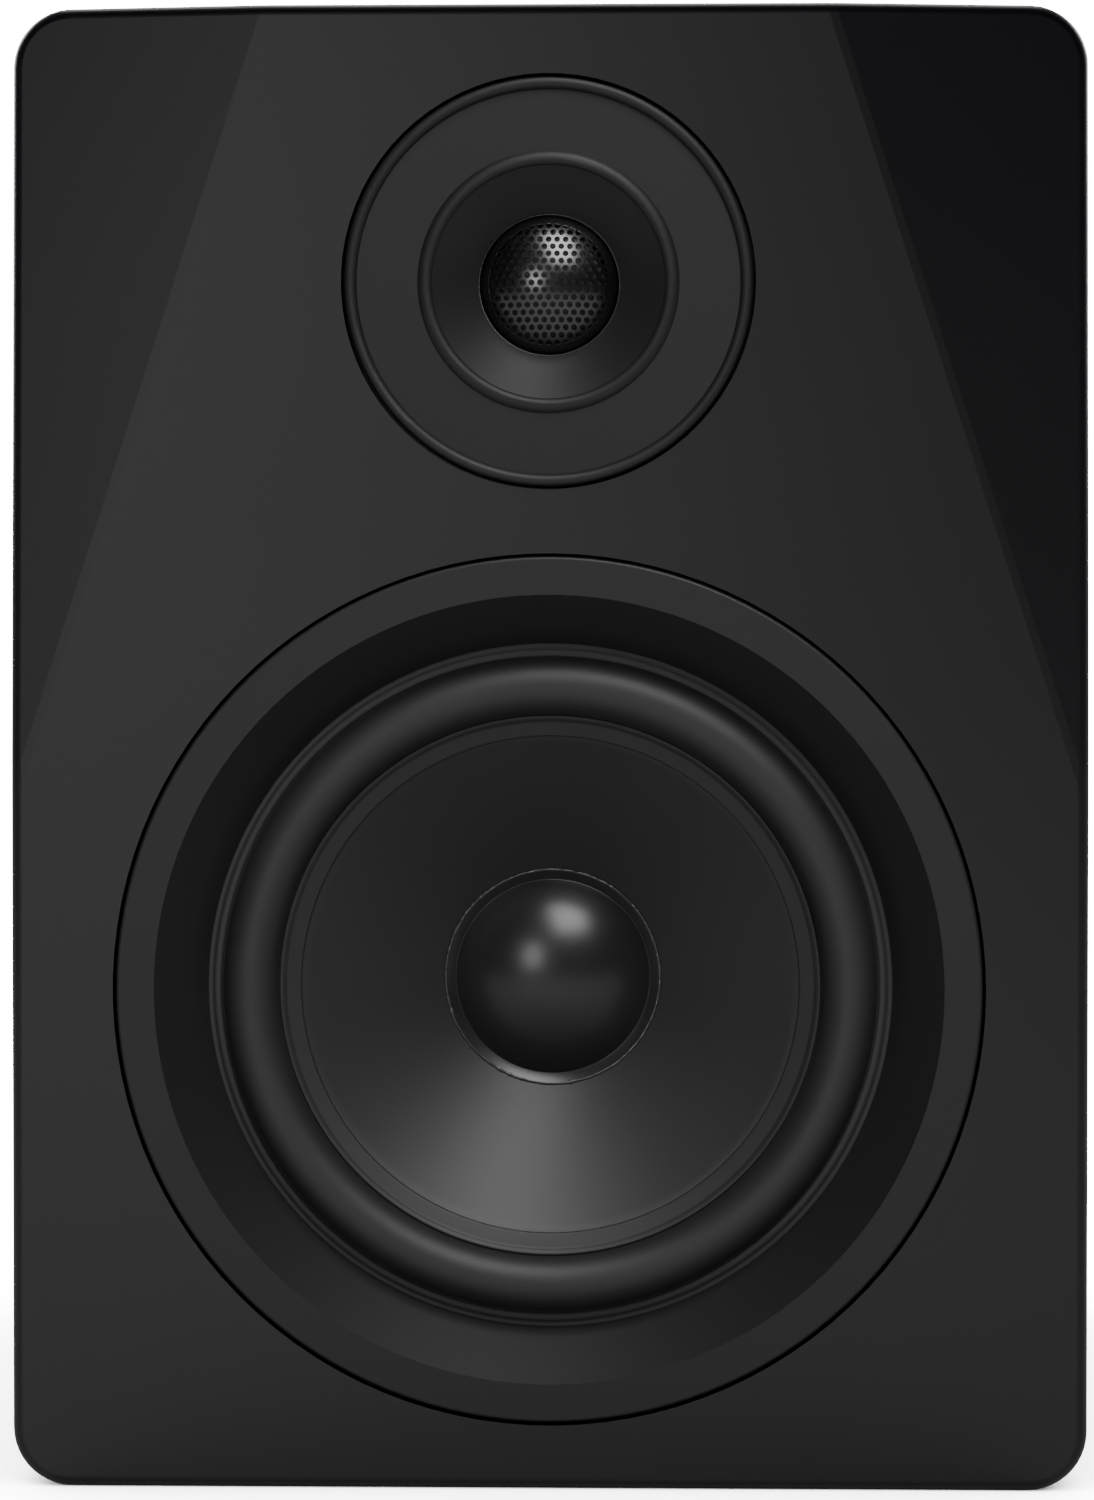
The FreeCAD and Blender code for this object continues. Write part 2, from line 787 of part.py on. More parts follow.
def wall_panels():
    """Four mitred panels folded round the box, with the outer corners rounded."""
    t, r = mm.panel_thickness, mm.corner_radius
    nick = r * (1 - QUARTER)
    length = mm.cabinet_depth - mm.baffle_thickness
    turns = {
        "top_panel": (half_width, half_height, lambda along, out: (along, out)),
        "bottom_panel": (half_width, half_height, lambda along, out: (-along, -out)),
        "right_panel": (half_height, half_width, lambda along, out: (out, -along)),
        "left_panel": (half_height, half_width, lambda along, out: (-out, along)),
    }
    for label, (reach, out, turn) in turns.items():
        body = new_body(label)
        flat = [
            (-(reach - t), out - t),
            (reach - t, out - t),
            (reach - nick, out - nick, r),
            (reach - r, out),
            (-(reach - r), out, r),
            (-(reach - nick), out - nick),
        ]
        outline = [(*turn(sized(c[0]), sized(c[1])), *c[2:]) for c in flat]
        slab(body, draw(new_sketch(body, "XZ_Plane"), outline), length)
        if label == "bottom_panel":
            back = board_middle - mm.baffle_thickness - front_y
            spots = [(x, y + back) for x, y in board_corners()]
            holes = draw_circles(new_sketch(body, "XY_Plane", t - out), pilot_radius(), *spots)
            cut(body, "Pocket", holes, Length=mm.board_screw_bite + mm.thread_clearance)
        keep(place(body, y=front_y + mm.baffle_thickness, z=half_height), label)


def rear_panel():
    """The inset back, with seats for the port flare and the terminal cup."""
    body = new_body("rear_panel")
    t = mm.panel_thickness
    x, low, high = half_width - t, t, mm.cabinet_height - t
    slab(body, draw(new_sketch(body, "XZ_Plane"), [(-x, low), (x, low), (x, high), (-x, high)]), t)
    port = [(0, port_height)]
    bored(body, flare_flange + mm.port_clearance, port, 0, mm.flare_flange_thickness)
    bored(body, sleeve_outer + mm.port_clearance, port, 0, t)
    gap = mm.cup_clearance
    rebate = rounded(
        cup_flange_width + gap,
        cup_flange_height + gap,
        mm.cup_flange_radius + gap / 2,
        mm.cup_height,
    )
    cut(body, "Pocket", draw(new_sketch(body, "XZ_Plane"), rebate), Length=cup_rebate)
    opening = rounded(
        cup_body_width + gap * 2, cup_body_height + gap * 2, mm.cup_inner_radius, mm.cup_height
    )
    cut(body, "Pocket", draw(new_sketch(body, "XZ_Plane"), opening), Length=t)
    pilots = [(x, z + mm.cup_height) for x, z in cup_screw_spots()]
    thread = mm.cup_screw_radius + mm.thread_clearance
    bored(body, thread, pilots, cup_rebate, mm.cup_screw_tip - cup_rebate + mm.thread_clearance)
    keep(at_rear(body, 0), "rear_panel")


def woofer_trim_ring():
    """The flush outer face, the cone that leads in to the surround, and four push-in pegs."""
    wall, edge = mm.trim_wall, mm.trim_edge_round
    lip = foot_front - mm.trim_lip
    lean = (trim_face_inner - trim_throat) / lip
    body = turned(
        "woofer_trim_ring",
        [
            (trim_face_inner, 0),
            (trim_radius - edge, 0, edge),
            (trim_radius, edge),
            (trim_radius, woofer_seat - mm.trim_gap),
            (skirt_inner, woofer_seat - mm.trim_gap),
            (skirt_inner, wall),
            (trim_throat + wall + (foot_front - wall) * lean, wall),
            (trim_throat + wall, foot_front),
            (trim_throat, foot_front),
            (trim_throat, lip),
        ],
    )
    spots = around(peg_circle, False)
    pegs = draw_circles(new_sketch(body, "XZ_Plane", wall / -2), mm.peg_radius, *spots)
    slab(body, pegs, mm.peg_length)
    keep(at_front(body, woofer_height), "woofer_trim_ring")


def woofer_basket():
    """The pressed steel frame: flange, windowed wall, spider shelf and floor."""
    sheet_wall = mm.basket_sheet
    outer_step = basket_throat + sheet_wall
    shoulder = basket_flange_back + sheet_wall
    body = turned(
        "woofer_basket",
        [
            (basket_throat, basket_front),
            (basket_radius, basket_front),
            (basket_radius, basket_flange_back),
            (outer_step, basket_flange_back),
            (outer_step, shoulder + 1),
            (mm.shelf_outer + sheet_wall, shelf_depth + 0.6),
            (mm.shelf_outer + sheet_wall, strip_front),
            (mm.shelf_inner + sheet_wall, strip_front),
            (mm.shelf_inner + sheet_wall, top_plate_front),
            ((top_plate_bore + mm.bore_step), top_plate_front),
            ((top_plate_bore + mm.bore_step), top_plate_front - sheet_wall),
            (mm.shelf_inner, top_plate_front - sheet_wall),
            (mm.shelf_inner, shelf_depth),
            (mm.shelf_outer, shelf_depth),
            (basket_throat, shoulder + 0.5),
        ],
    )
    low, high = mm.shelf_outer - 2, basket_radius - 5
    start, end = shoulder + 3.5, shelf_depth - 3.5
    window = [(start, low), (end, low), (end, high), (start, high)]
    profile = draw(new_sketch(body, "YZ_Plane"), window)
    opening = cut(body, "Pocket", profile, Length=mm.window_width, Midplane=True)
    patterned(body, opening, mm.window_count)
    spots = around(screw_circle) + around(peg_circle, False)
    hole = mm.woofer_screw_radius + mm.screw_clearance
    bored(body, hole, spots, basket_front, mm.basket_sheet)
    keep(at_front(body, woofer_height), "woofer_basket")


def woofer_fixings():
    """The foam gasket under the flange and the four screws through it."""
    gasket = tube(
        "woofer_gasket", woofer_cutout + 0.5, basket_radius, basket_flange_back, woofer_seat
    )
    spots = around(screw_circle) + around(peg_circle, False)
    hole = mm.woofer_screw_radius + mm.screw_clearance
    bored(gasket, hole, spots, basket_flange_back, mm.woofer_gasket)
    keep(at_front(gasket, woofer_height), "woofer_gasket")
    screws = screw_group(
        "woofer_screws",
        around(screw_circle),
        mm.woofer_screw_head,
        mm.woofer_screw_head_height,
        mm.woofer_screw_radius,
        basket_front,
        basket_front + mm.woofer_screw_length,
    )
    keep(at_front(screws, woofer_height), "woofer_screws")


def woofer_surround():
    """The rubber half roll between the basket's flange and the rim of the cone."""
    rubber = mm.rubber_thickness
    middle = (mm.roll_outer + roll_inner) / 2
    roll = (mm.roll_outer - roll_inner) / 2
    inside = roll - rubber
    crown = foot_front - roll
    body = turned(
        "woofer_surround",
        [
            (foot_outer, foot_front),
            (foot_outer, basket_front),
            (mm.roll_outer - rubber, basket_front),
            (mm.roll_outer - rubber, foot_front, -inside),
            (middle, crown + rubber, -inside),
            (cone_rim, foot_front),
            (cone_rim, basket_front),
            (foot_inner, cone_edge_depth),
            (foot_inner, cone_edge_depth - rubber),
            (roll_inner, foot_front, roll),
            (middle, crown, roll),
            (mm.roll_outer, foot_front),
        ],
    )
    keep(at_front(body, woofer_height), "woofer_surround")


def cone_front(radius):
    """Depth of the cone's front surface at a radius inside its rim."""
    return cone_edge_depth + (foot_inner - radius) * cone_slope


def woofer_cone():
    neck = former_outer + mm.cone_wall
    body = turned(
        "woofer_cone",
        [
            (cone_rim, basket_front),
            (cone_rim, basket_front + mm.cone_wall),
            (foot_inner, cone_edge_depth + mm.cone_wall),
            (neck, cone_front(neck) + mm.cone_wall),
            (neck, neck_depth + mm.cone_neck_length),
            (former_outer, neck_depth + mm.cone_neck_length),
            (former_outer, neck_depth),
            (foot_inner, cone_edge_depth),
        ],
    )
    keep(at_front(body, woofer_height), "woofer_cone")


def dust_cap():
    """The domed cap with the narrow flange that is glued to the cone."""
    rise, wall = mm.cap_rise, mm.cap_wall
    outer, inner = cap_outer, cap_inner
    base = cone_front(inner) - wall
    crown = base - rise
    dome = (inner * inner + rise * rise) / (rise * 2)
    inner_wall = inner - wall
    inner_dome = (inner_wall * inner_wall + rise * rise) / (rise * 2)
    body = turned(
        "dust_cap",
        [
            (outer, cone_front(outer)),
            (outer, cone_front(outer) - wall),
            (inner, base, -dome),
            (0, crown),
            (0, crown + wall, inner_dome),
            (inner_wall, base + wall),
            (inner_wall, cone_front(inner_wall)),
        ],
    )
    keep(at_front(body, woofer_height), "dust_cap")


def voice_coil():
    former = tube("voice_coil_former", mm.former_inner, former_outer, former_top, former_end)
    keep(at_front(former, woofer_height), "voice_coil_former")
    start = former_end - mm.winding_length
    winding = tube(
        "voice_coil_winding", former_outer, former_outer + mm.winding_wall, start, former_end
    )
    keep(at_front(winding, woofer_height), "voice_coil_winding")


def spider():
    """The corrugated cloth disc that centres the voice coil."""
    sheet_wall = mm.spider_sheet
    back = shelf_depth
    front = back - sheet_wall
    start = mm.shelf_inner
    waves = 4
    step = (start - (former_outer + mm.spider_neck)) / (waves * 2)
    bend = step * 0.55
    outer_side = [(mm.shelf_outer - 0.3, front), (mm.shelf_outer - 0.3, back)]
    lower, upper = [], []
    for number in range(waves * 2):
        radius = start - step * number
        bulge = bend if number % 2 else -bend
        lower.append((radius, back, bulge))
        upper.append((radius - step, front, -bulge))
    neck = [((former_outer + mm.spider_neck), back), (former_outer, back), (former_outer, front)]
    corners = outer_side + lower + neck + upper[::-1] + [(start, front)]
    body = turned("spider", corners)
    keep(at_front(body, woofer_height), "spider")


def woofer_motor():
    """Top plate, ferrite ring and the yoke with its vented pole."""
    plate = tube(
        "woofer_top_plate", top_plate_bore, mm.top_plate_radius, top_plate_front, magnet_front
    )
    keep(at_front(plate, woofer_height), "woofer_top_plate")
    magnet_bore = top_plate_bore + mm.magnet_step
    magnet = tube("woofer_magnet", magnet_bore, mm.magnet_radius, magnet_front, yoke_front)
    edge = mm.magnet_radius.value - 0.01
    round_edges(magnet, lambda p: math.hypot(p.x, p.z) > edge, mm.trim_wall / 2, "Chamfer")
    keep(at_front(magnet, woofer_height), "woofer_magnet")
    yoke = turned(
        "woofer_yoke",
        [
            (mm.vent_radius, top_plate_front),
            (pole_radius, top_plate_front),
            (pole_radius, yoke_front),
            (mm.yoke_radius, yoke_front),
            (mm.yoke_radius, yoke_back - 1),
            (mm.yoke_radius - 1, yoke_back),
            (mm.vent_radius + 1, yoke_back),
            (mm.vent_radius, yoke_back - 1),
        ],
    )
    keep(at_front(yoke, woofer_height), "woofer_yoke")


def woofer_terminals():
    """The strip that carries the two lugs, and the flexible leads from the cone to them."""
    strip = new_body("woofer_terminal_strip")
    x, top = mm.strip_width / 2, strip_bottom + mm.strip_length
    outline = [(-x, strip_bottom), (x, strip_bottom), (x, top), (-x, top)]
    slab(strip, draw(new_sketch(strip, "XZ_Plane", -strip_front), outline), mm.strip_thickness)
    keep(at_front(strip, woofer_height), "woofer_terminal_strip")
    lugs = new_body("woofer_lugs")
    lug_front = strip_front - mm.lug_thickness
    sketch = new_sketch(lugs, "XZ_Plane", -lug_front)
    for side in (-1, 1):
        middle, half = mm.lug_spacing * side / 2, mm.lug_width / 2
        top = lug_bottom + mm.lug_length
        draw(
            sketch,
            [
                (middle - half, lug_bottom),
                (middle + half, lug_bottom),
                (middle + half, top),
                (middle - half, top),
            ],
        )
    slab(lugs, sketch, mm.lug_thickness)
    keep(at_front(lugs, woofer_height), "woofer_lugs")
    tie = 20  # height of the leads' tie points on the back of the cone
    radius = math.hypot(tie, mm.lug_spacing.value / 2)
    start = cone_front(sized(radius)).value + mm.cone_wall.value + mm.tinsel_radius.value
    end = lug_front.value
    routes = []
    for side in (-1, 1):
        x = side * mm.lug_spacing.value / 2
        landing = lug_bottom.value + 4
        drop = [
            (start, tie),
            (start + 4, tie + 4),
            (start + 4.5, tie + 11),
            (start + 3, landing - 6),
            (start + 5, landing),
            (end, landing),
        ]
        base = front_y.value
        routes.append([(x, base + y, woofer_height.value + z) for y, z in drop])
    cables("tinsel_leads", routes, mm.tinsel_radius)


def tweeter_faceplate():
    """The round plate with its rim bead, the collar and the short horn."""
    bead_inner = mm.tweeter_radius - mm.bead_width
    bead_crown = mm.tweeter_radius - mm.bead_width / 2
    half = mm.bead_width / 2
    bead = (half * half + mm.face_set_back * mm.face_set_back) / (mm.face_set_back * 2)
    rise = mm.face_set_back - mm.collar_front
    slope = mm.collar_outer - mm.collar_crown
    shoulder = (slope * slope + rise * rise) / (rise * 2)
    seat_wall = grille_flange + mm.peg_clearance
    grille_back = mm.grille_seat_depth + mm.grille_sheet
    body = turned(
        "tweeter_faceplate",
        [
            (horn_throat, mm.grille_seat_depth),
            (horn_throat, mm.horn_throat_depth),
            (mm.horn_mouth, mm.horn_mouth_depth, mm.collar_bend),
            (mm.collar_crown, mm.collar_front, shoulder),
            (mm.collar_outer, mm.face_set_back),
            (bead_inner, mm.face_set_back, bead),
            (bead_crown, 0, bead),
            (mm.tweeter_radius, mm.face_set_back),
            (mm.tweeter_radius, mm.flange_back),
            (mm.hub_radius, mm.flange_back),
            (mm.hub_radius, mm.hub_back),
            (diaphragm_seat, mm.hub_back),
            (diaphragm_seat, grille_back),
            (seat_wall, grille_back),
            (seat_wall, mm.grille_seat_depth),
        ],
    )
    spots = around(tweeter_screw_circle)
    thread = mm.tweeter_screw_radius + mm.thread_clearance
    start = mm.tweeter_screw_tip - mm.screw_clearance
    bored(body, thread, spots, start, mm.flange_back - start)
    keep(at_front(body, tweeter_height), "tweeter_faceplate")


def tweeter_fixings():
    gasket = tube(
        "tweeter_gasket",
        tweeter_cutout + 0.5,
        mm.tweeter_radius - 0.7,
        mm.flange_back,
        tweeter_seat,
    )
    spots = around(tweeter_screw_circle)
    hole = mm.tweeter_screw_radius + mm.screw_clearance
    bored(gasket, hole, spots, mm.flange_back, mm.tweeter_gasket)
    keep(at_front(gasket, tweeter_height), "tweeter_gasket")
    screws = screw_group(
        "tweeter_screws",
        spots,
        mm.tweeter_screw_head,
        mm.tweeter_screw_head_height,
        mm.tweeter_screw_radius,
        mm.tweeter_screw_seat,
        mm.tweeter_screw_tip,
        to_front=True,
    )
    keep(at_front(screws, tweeter_height), "tweeter_screws")


def dome_ball(radius, rise):
    """Radius of the ball that a dome is part of."""
    return (radius * radius + rise * rise) / (rise * 2)


def tweeter_grille():
    """The domed metal guard, punched with a hexagonal field of round holes."""
    sheet_wall, radius = mm.grille_sheet, grille_radius
    seat, back = mm.grille_seat_depth, mm.grille_seat_depth + mm.grille_sheet
    crown = seat - mm.grille_rise
    inner = radius - sheet_wall
    outer_ball = dome_ball(radius, mm.grille_rise)
    inner_ball = dome_ball(inner, mm.grille_rise)
    blank = turned(
        "grille_blank",
        [
            (grille_flange, seat),
            (grille_flange, back),
            (inner, back, -inner_ball),
            (0, crown + sheet_wall),
            (0, crown, outer_ball),
            (radius, seat),
        ],
    )
    at_front(blank, tweeter_height)
    pitch, limit = mm.grille_pitch.value, (radius - mm.grille_plain_edge).value
    rows = int(limit / (pitch * math.sqrt(0.75))) + 1
    punches = []
    for row in range(-rows, rows + 1):
        z = row * pitch * math.sqrt(0.75)
        shift = pitch / 2 if row % 2 else 0
        for column in range(-rows - 2, rows + 3):
            x = column * pitch + shift
            if math.hypot(x, z) < limit:
                start = Vector(x, front_y.value - 1, tweeter_height.value + z)
                length = back.value + 1
                punches.append(
                    Part.makeCylinder(mm.grille_hole.value, length, start, Vector(0, 1, 0))
                )
    tool = doc.addObject("Part::Feature", "grille_punches")
    tool.Shape = Part.Compound(punches)
    guard = doc.addObject("Part::Cut", "tweeter_grille")
    guard.Base, guard.Tool = blank, tool
    keep(guard, "tweeter_grille")


def tweeter_diaphragm():
    """The soft dome, its flexing edge, the coil under it and the ring that carries the edge."""
    sheet_wall, radius = mm.dome_sheet, mm.dome_radius
    back, seat = edge_front + sheet_wall, edge_front
    crown = seat - mm.dome_rise
    inner = radius - sheet_wall
    dome = turned(
        "tweeter_dome",
        [
            (radius, seat),
            (radius, back),
            (inner, back),
            (inner, seat, -dome_ball(inner, mm.dome_rise - sheet_wall)),
            (0, crown + sheet_wall),
            (0, crown, dome_ball(radius, mm.dome_rise)),
        ],
    )
    keep(at_front(dome, tweeter_height), "tweeter_dome")
    outer_ring = edge_roll_outer
    bend = dome_ball((outer_ring - radius) / 2, mm.edge_roll_rise)
    edge = turned(
        "tweeter_edge_roll",
        [
            (edge_rim, seat),
            (edge_rim, back),
            (outer_ring, back, -bend),
            (radius, back),
            (radius, seat, bend),
            (outer_ring, seat),
        ],
    )
    keep(at_front(edge, tweeter_height), "tweeter_edge_roll")
    winding_start = back + mm.tweeter_coil_length / 4
    coil_end = back + mm.tweeter_coil_length
    winding = radius + mm.tweeter_coil_wall
    coil = turned(
        "tweeter_voice_coil",
        [
            (inner, back),
            (radius, back),
            (radius, winding_start),
            (winding, winding_start),
            (winding, coil_end),
            (inner, coil_end),
        ],
    )
    keep(at_front(coil, tweeter_height), "tweeter_voice_coil")
    ring = tube(
        "tweeter_ring", ring_bore, ring_radius, ring_front, tweeter_plate_front
    )
    keep(at_front(ring, tweeter_height), "tweeter_ring")


def tweeter_motor():
    plate = tube(
        "tweeter_top_plate",
        tweeter_plate_bore,
        mm.tweeter_plate_radius,
        tweeter_plate_front,
        tweeter_magnet_front,
    )
    keep(at_front(plate, tweeter_height), "tweeter_top_plate")
    magnet = tube(
        "tweeter_magnet",
        (tweeter_plate_bore + mm.tweeter_magnet_step),
        mm.tweeter_magnet_radius,
        tweeter_magnet_front,
        tweeter_yoke_front,
    )
    keep(at_front(magnet, tweeter_height), "tweeter_magnet")
    yoke = turned(
        "tweeter_yoke",
        [
            (0, tweeter_plate_front),
            (tweeter_pole_radius, tweeter_plate_front),
            (tweeter_pole_radius, tweeter_yoke_front),
            (mm.tweeter_plate_radius, tweeter_yoke_front),
            (mm.tweeter_plate_radius, tweeter_yoke_back),
            (0, tweeter_yoke_back),
        ],
    )
    keep(at_front(yoke, tweeter_height), "tweeter_yoke")
    block = new_body("tweeter_terminals")
    outline = rounded(mm.tab_block_width, mm.tab_block_height, 1)
    profile = draw(new_sketch(block, "XZ_Plane", -tweeter_yoke_back), outline)
    slab(block, profile, mm.tab_block_thickness)
    tabs = new_sketch(block, "XZ_Plane", -tab_front)
    for side in (-1, 1):
        middle, half = mm.tab_spacing * side / 2, mm.lug_thickness
        tall = mm.tab_width / 2
        draw(
            tabs,
            [
                (middle - half, -tall),
                (middle + half, -tall),
                (middle + half, tall),
                (middle - half, tall),
            ],
        )
    slab(block, tabs, mm.tab_length)
    keep(at_front(block, tweeter_height), "tweeter_terminals")


def port():
    """The flared mouth, flush with the rear panel, and the straight tube behind it."""
    widening = flare_mouth - mm.port_radius
    flare_curve = dome_ball(mm.flare_depth, widening)
    edge, bore = mm.trim_edge_round, mm.port_radius
    flare = turned(
        "port_flare",
        [
            (flare_mouth, 0),
            (flare_flange - edge, 0, edge),
            (flare_flange, edge),
            (flare_flange, mm.flare_flange_thickness),
            (sleeve_outer, mm.flare_flange_thickness),
            (sleeve_outer, mm.flare_sleeve_end),
            (sleeve_bore, mm.flare_sleeve_end),
            (sleeve_bore, mm.flare_shoulder),
            (bore, mm.flare_shoulder),
            (bore, mm.flare_depth, flare_curve),
        ],
    )
    keep(at_rear(flare, port_height), "port_flare")
    pipe = tube("port_tube", bore, port_outer, mm.flare_shoulder, mm.port_length)
    keep(at_rear(pipe, port_height), "port_tube")


def cup_screw_spots():
    x, z = cup_screw_x, cup_screw_z
    return [(x, z), (-x, z), (-x, -z), (x, -z)]


def terminal_cup():
    """The moulded dish with its flange, the gasket under it and four countersunk screws."""
    body = new_body("terminal_cup")
    flange = rounded(cup_flange_width, cup_flange_height, mm.cup_flange_radius)
    slab(body, draw(new_sketch(body, "XZ_Plane"), flange), mm.cup_flange_thickness)
    box = rounded(cup_body_width, cup_body_height, mm.cup_inner_radius)
    slab(body, draw(new_sketch(body, "XZ_Plane"), box), cup_back)
    dish = rounded(mm.cup_width, mm.cup_recess_height, mm.cup_inner_radius - 0.5)
    profile = draw(new_sketch(body, "XZ_Plane"), dish)
    cut(body, "Pocket", profile, Length=mm.cup_recess_depth)
    half = mm.post_spacing / 2
    stud_hole = mm.stud_radius + mm.thread_clearance
    bored(body, stud_hole, [(half, 0), (-half, 0)], mm.cup_recess_depth, mm.cup_wall)
    hole = mm.cup_screw_radius + mm.screw_clearance
    bored(body, hole, cup_screw_spots(), 0, mm.cup_flange_thickness)
    reach, depth = cup_body_width.value / 2, 0.01
    round_edges(body, lambda p: p.y < depth and abs(p.x) > reach + 2 and near_hole(p), sunk(), "Chamfer")
    wide, tall = cup_flange_width.value / 2, cup_flange_height.value / 2
    corner = mm.cup_flange_radius.value
    round_edges(
        body,
        lambda p: p.y < depth and on_rounded(p, wide, tall, corner),
        mm.trim_edge_round,
    )
    round_edges(
        body,
        lambda p: p.y < depth
        and on_rounded(
            p,
            mm.cup_width.value / 2,
            mm.cup_recess_height.value / 2,
            mm.cup_inner_radius.value - 0.5,
        ),
        mm.trim_edge_round * 2,
    )
    keep(at_rear(body, mm.cup_height), "terminal_cup")
    gasket = new_body("terminal_cup_gasket")
    sketch = new_sketch(gasket, "XZ_Plane", -mm.cup_flange_thickness)
    draw(sketch, flange)
    gap = mm.cup_clearance * 2
    draw(sketch, rounded(cup_body_width + gap, cup_body_height + gap, mm.cup_inner_radius))
    slab(gasket, sketch, mm.cup_gasket)
    bored(gasket, hole, cup_screw_spots(), mm.cup_flange_thickness, mm.cup_gasket)
    keep(at_rear(gasket, mm.cup_height), "terminal_cup_gasket")
    screws = new_body("terminal_cup_screws")
    proud = mm.screw_clearance / 2
    sink = sunk() - proud
    heads = draw_circles(new_sketch(screws, "XZ_Plane", -proud), cup_head(), *cup_screw_spots())
    feature(screws, "Pad", heads, Length=sink, Reversed=True, TaperAngle=-45.0)
    shanks = new_sketch(screws, "XZ_Plane", -sunk())
    draw_circles(shanks, mm.cup_screw_radius, *cup_screw_spots())
    slab(screws, shanks, mm.cup_screw_tip - sunk())
    recess = new_sketch(screws, "XZ_Plane", -proud)
    for x, z in cup_screw_spots():
        draw(recess, cross(sized(x), sized(z), mm.cup_screw_head * 0.5, mm.cup_screw_head * 0.14))
    cut(screws, "Pocket", recess, Length=mm.cup_screw_radius)
    keep(at_rear(screws, mm.cup_height), "terminal_cup_screws")


def sunk():
    """Depth of the countersinks in the cup's flange."""
    return mm.cup_screw_head - mm.cup_screw_radius


def cup_head():
    """Radius of a screw's head where it stands just under the flange's face."""
    return mm.cup_screw_head - mm.screw_clearance / 2


def near_hole(point):
    """Whether a point is on the edge of one of the cup's screw holes."""
    dx = abs(point.x) - cup_screw_x.value
    dz = abs(point.z) - cup_screw_z.value
    return abs(math.hypot(dx, dz) - (mm.cup_screw_radius + mm.screw_clearance).value) < 0.01


def on_rounded(point, wide, tall, corner):
    """Whether a point is on the edge of a rounded rectangle about the origin."""
    dx = max(abs(point.x) - (wide - corner), 0)
    dz = max(abs(point.z) - (tall - corner), 0)
    return abs(math.hypot(dx, dz) - corner) < 1e-3


def binding_post(colour, side):
    """The moving pieces of one post: fixed collar, clamp washer and fluted cap."""
    x = mm.post_spacing * side / 2
    stud_r = mm.stud_radius
    bore = stud_r + mm.thread_clearance
    collar = tube(
        f"{colour}_post_collar", bore, mm.collar_radius, collar_front, mm.cup_recess_depth
    )
    keep(at_rear(collar, mm.cup_height, x), f"{colour}_post_collar")
    loose = stud_r + mm.running_clearance
    washer = tube(
        f"{colour}_post_washer", loose, mm.washer_radius, washer_front, collar_front
    )
    keep(at_rear(washer, mm.cup_height, x), f"{colour}_post_washer")
    end_wall = post_cap_front + mm.cap_end_wall
    cap = turned(
        f"{colour}_post_cap",
        [
            (mm.cap_end_hole, post_cap_front),
            (mm.cap_radius - 1, post_cap_front, 1),
            (mm.cap_radius, post_cap_front + 1),
            (mm.cap_radius, washer_front),
            (loose, washer_front),
            (loose, end_wall),
            (mm.cap_end_hole, end_wall),
        ],
    )
    flute_at = mm.cap_radius + mm.cap_flute * 0.3
    flute = draw_circles(new_sketch(cap, "XZ_Plane", -post_cap_front), mm.cap_flute, (flute_at, 0))
    length = mm.cap_length - mm.collar_thickness
    groove = cut(cap, "Pocket", flute, Length=length)
    patterned(cap, groove, mm.cap_flute_count)
    keep(at_rear(cap, mm.cup_height, x), f"{colour}_post_cap")


def post_studs():
    """Both studs, each with a socket for a plug in its end and a cross hole for bare wire."""
    body = new_body("post_studs")
    spots = [(mm.post_spacing / 2, 0), (mm.post_spacing / -2, 0)]
    sketch = draw_circles(new_sketch(body, "XZ_Plane", -mm.stud_tip), mm.stud_radius, *spots)
    slab(body, sketch, mm.stud_end - mm.stud_tip)
    bored(body, mm.socket_radius, spots, mm.stud_tip, mm.socket_length)
    hole = draw_circles(
        new_sketch(body, "YZ_Plane"), mm.wire_hole_radius, (mm.wire_hole_depth, 0)
    )
    cut(body, "Pocket", hole, Length=mm.post_spacing * 2, Midplane=True)
    ends = (mm.stud_tip.value, mm.stud_end.value)

    def at_an_end(point):
        across = math.hypot(abs(point.x) - mm.post_spacing.value / 2, point.z)
        return min(abs(point.y - end) for end in ends) < 1e-3 and across > mm.socket_radius.value + 0.1

    round_edges(body, at_an_end, mm.stud_tip / 10, "Chamfer")
    keep(at_rear(body, mm.cup_height), "post_studs")


def post_hardware():
    """Inside the cabinet: hex nuts on both studs and the solder lugs between them."""
    stud_hole = mm.stud_radius + mm.thread_clearance
    spots = [(mm.post_spacing / 2, 0), (mm.post_spacing / -2, 0)]
    nuts = new_body("post_nuts")
    for start in (cup_back, solder_lug_back):
        sketch = new_sketch(nuts, "XZ_Plane", -start)
        for x, _ in spots:
            across, point = nut_width / 2, nut_width / math.sqrt(3)
            hexagon = [(point, 0), (point / 2, across), (-point / 2, across)]
            hexagon += [(-point, 0), (-point / 2, -across), (point / 2, -across)]
            draw(sketch, [(x + dx, dz) for dx, dz in hexagon])
        draw_circles(sketch, stud_hole, *spots)
        slab(nuts, sketch, mm.nut_thickness)
    keep(at_rear(nuts, mm.cup_height), "post_nuts")
    lugs = new_body("post_solder_lugs")
    sketch = new_sketch(lugs, "XZ_Plane", -nut_back)
    draw_circles(sketch, mm.solder_lug_radius, *spots)
    slab(lugs, sketch, mm.solder_lug_thickness)
    tails = new_sketch(lugs, "XZ_Plane", -nut_back)
    for x, _ in spots:
        half = mm.solder_lug_width / 2
        corners = [(x - half, -mm.solder_lug_reach), (x + half, -mm.solder_lug_reach)]
        draw(tails, corners + [(x + half, -stud_hole), (x - half, -stud_hole)])
    slab(lugs, tails, mm.solder_lug_thickness)
    bored(lugs, stud_hole, spots, nut_back, mm.solder_lug_thickness)
    keep(at_rear(lugs, mm.cup_height), "post_solder_lugs")


def board_corners():
    """The four fixings of the crossover board, from its own middle."""
    x = mm.board_width / 2 - mm.board_screw_inset
    y = mm.board_length / 2 - mm.board_screw_inset
    return [(x, y), (-x, y), (-x, -y), (x, -y)]


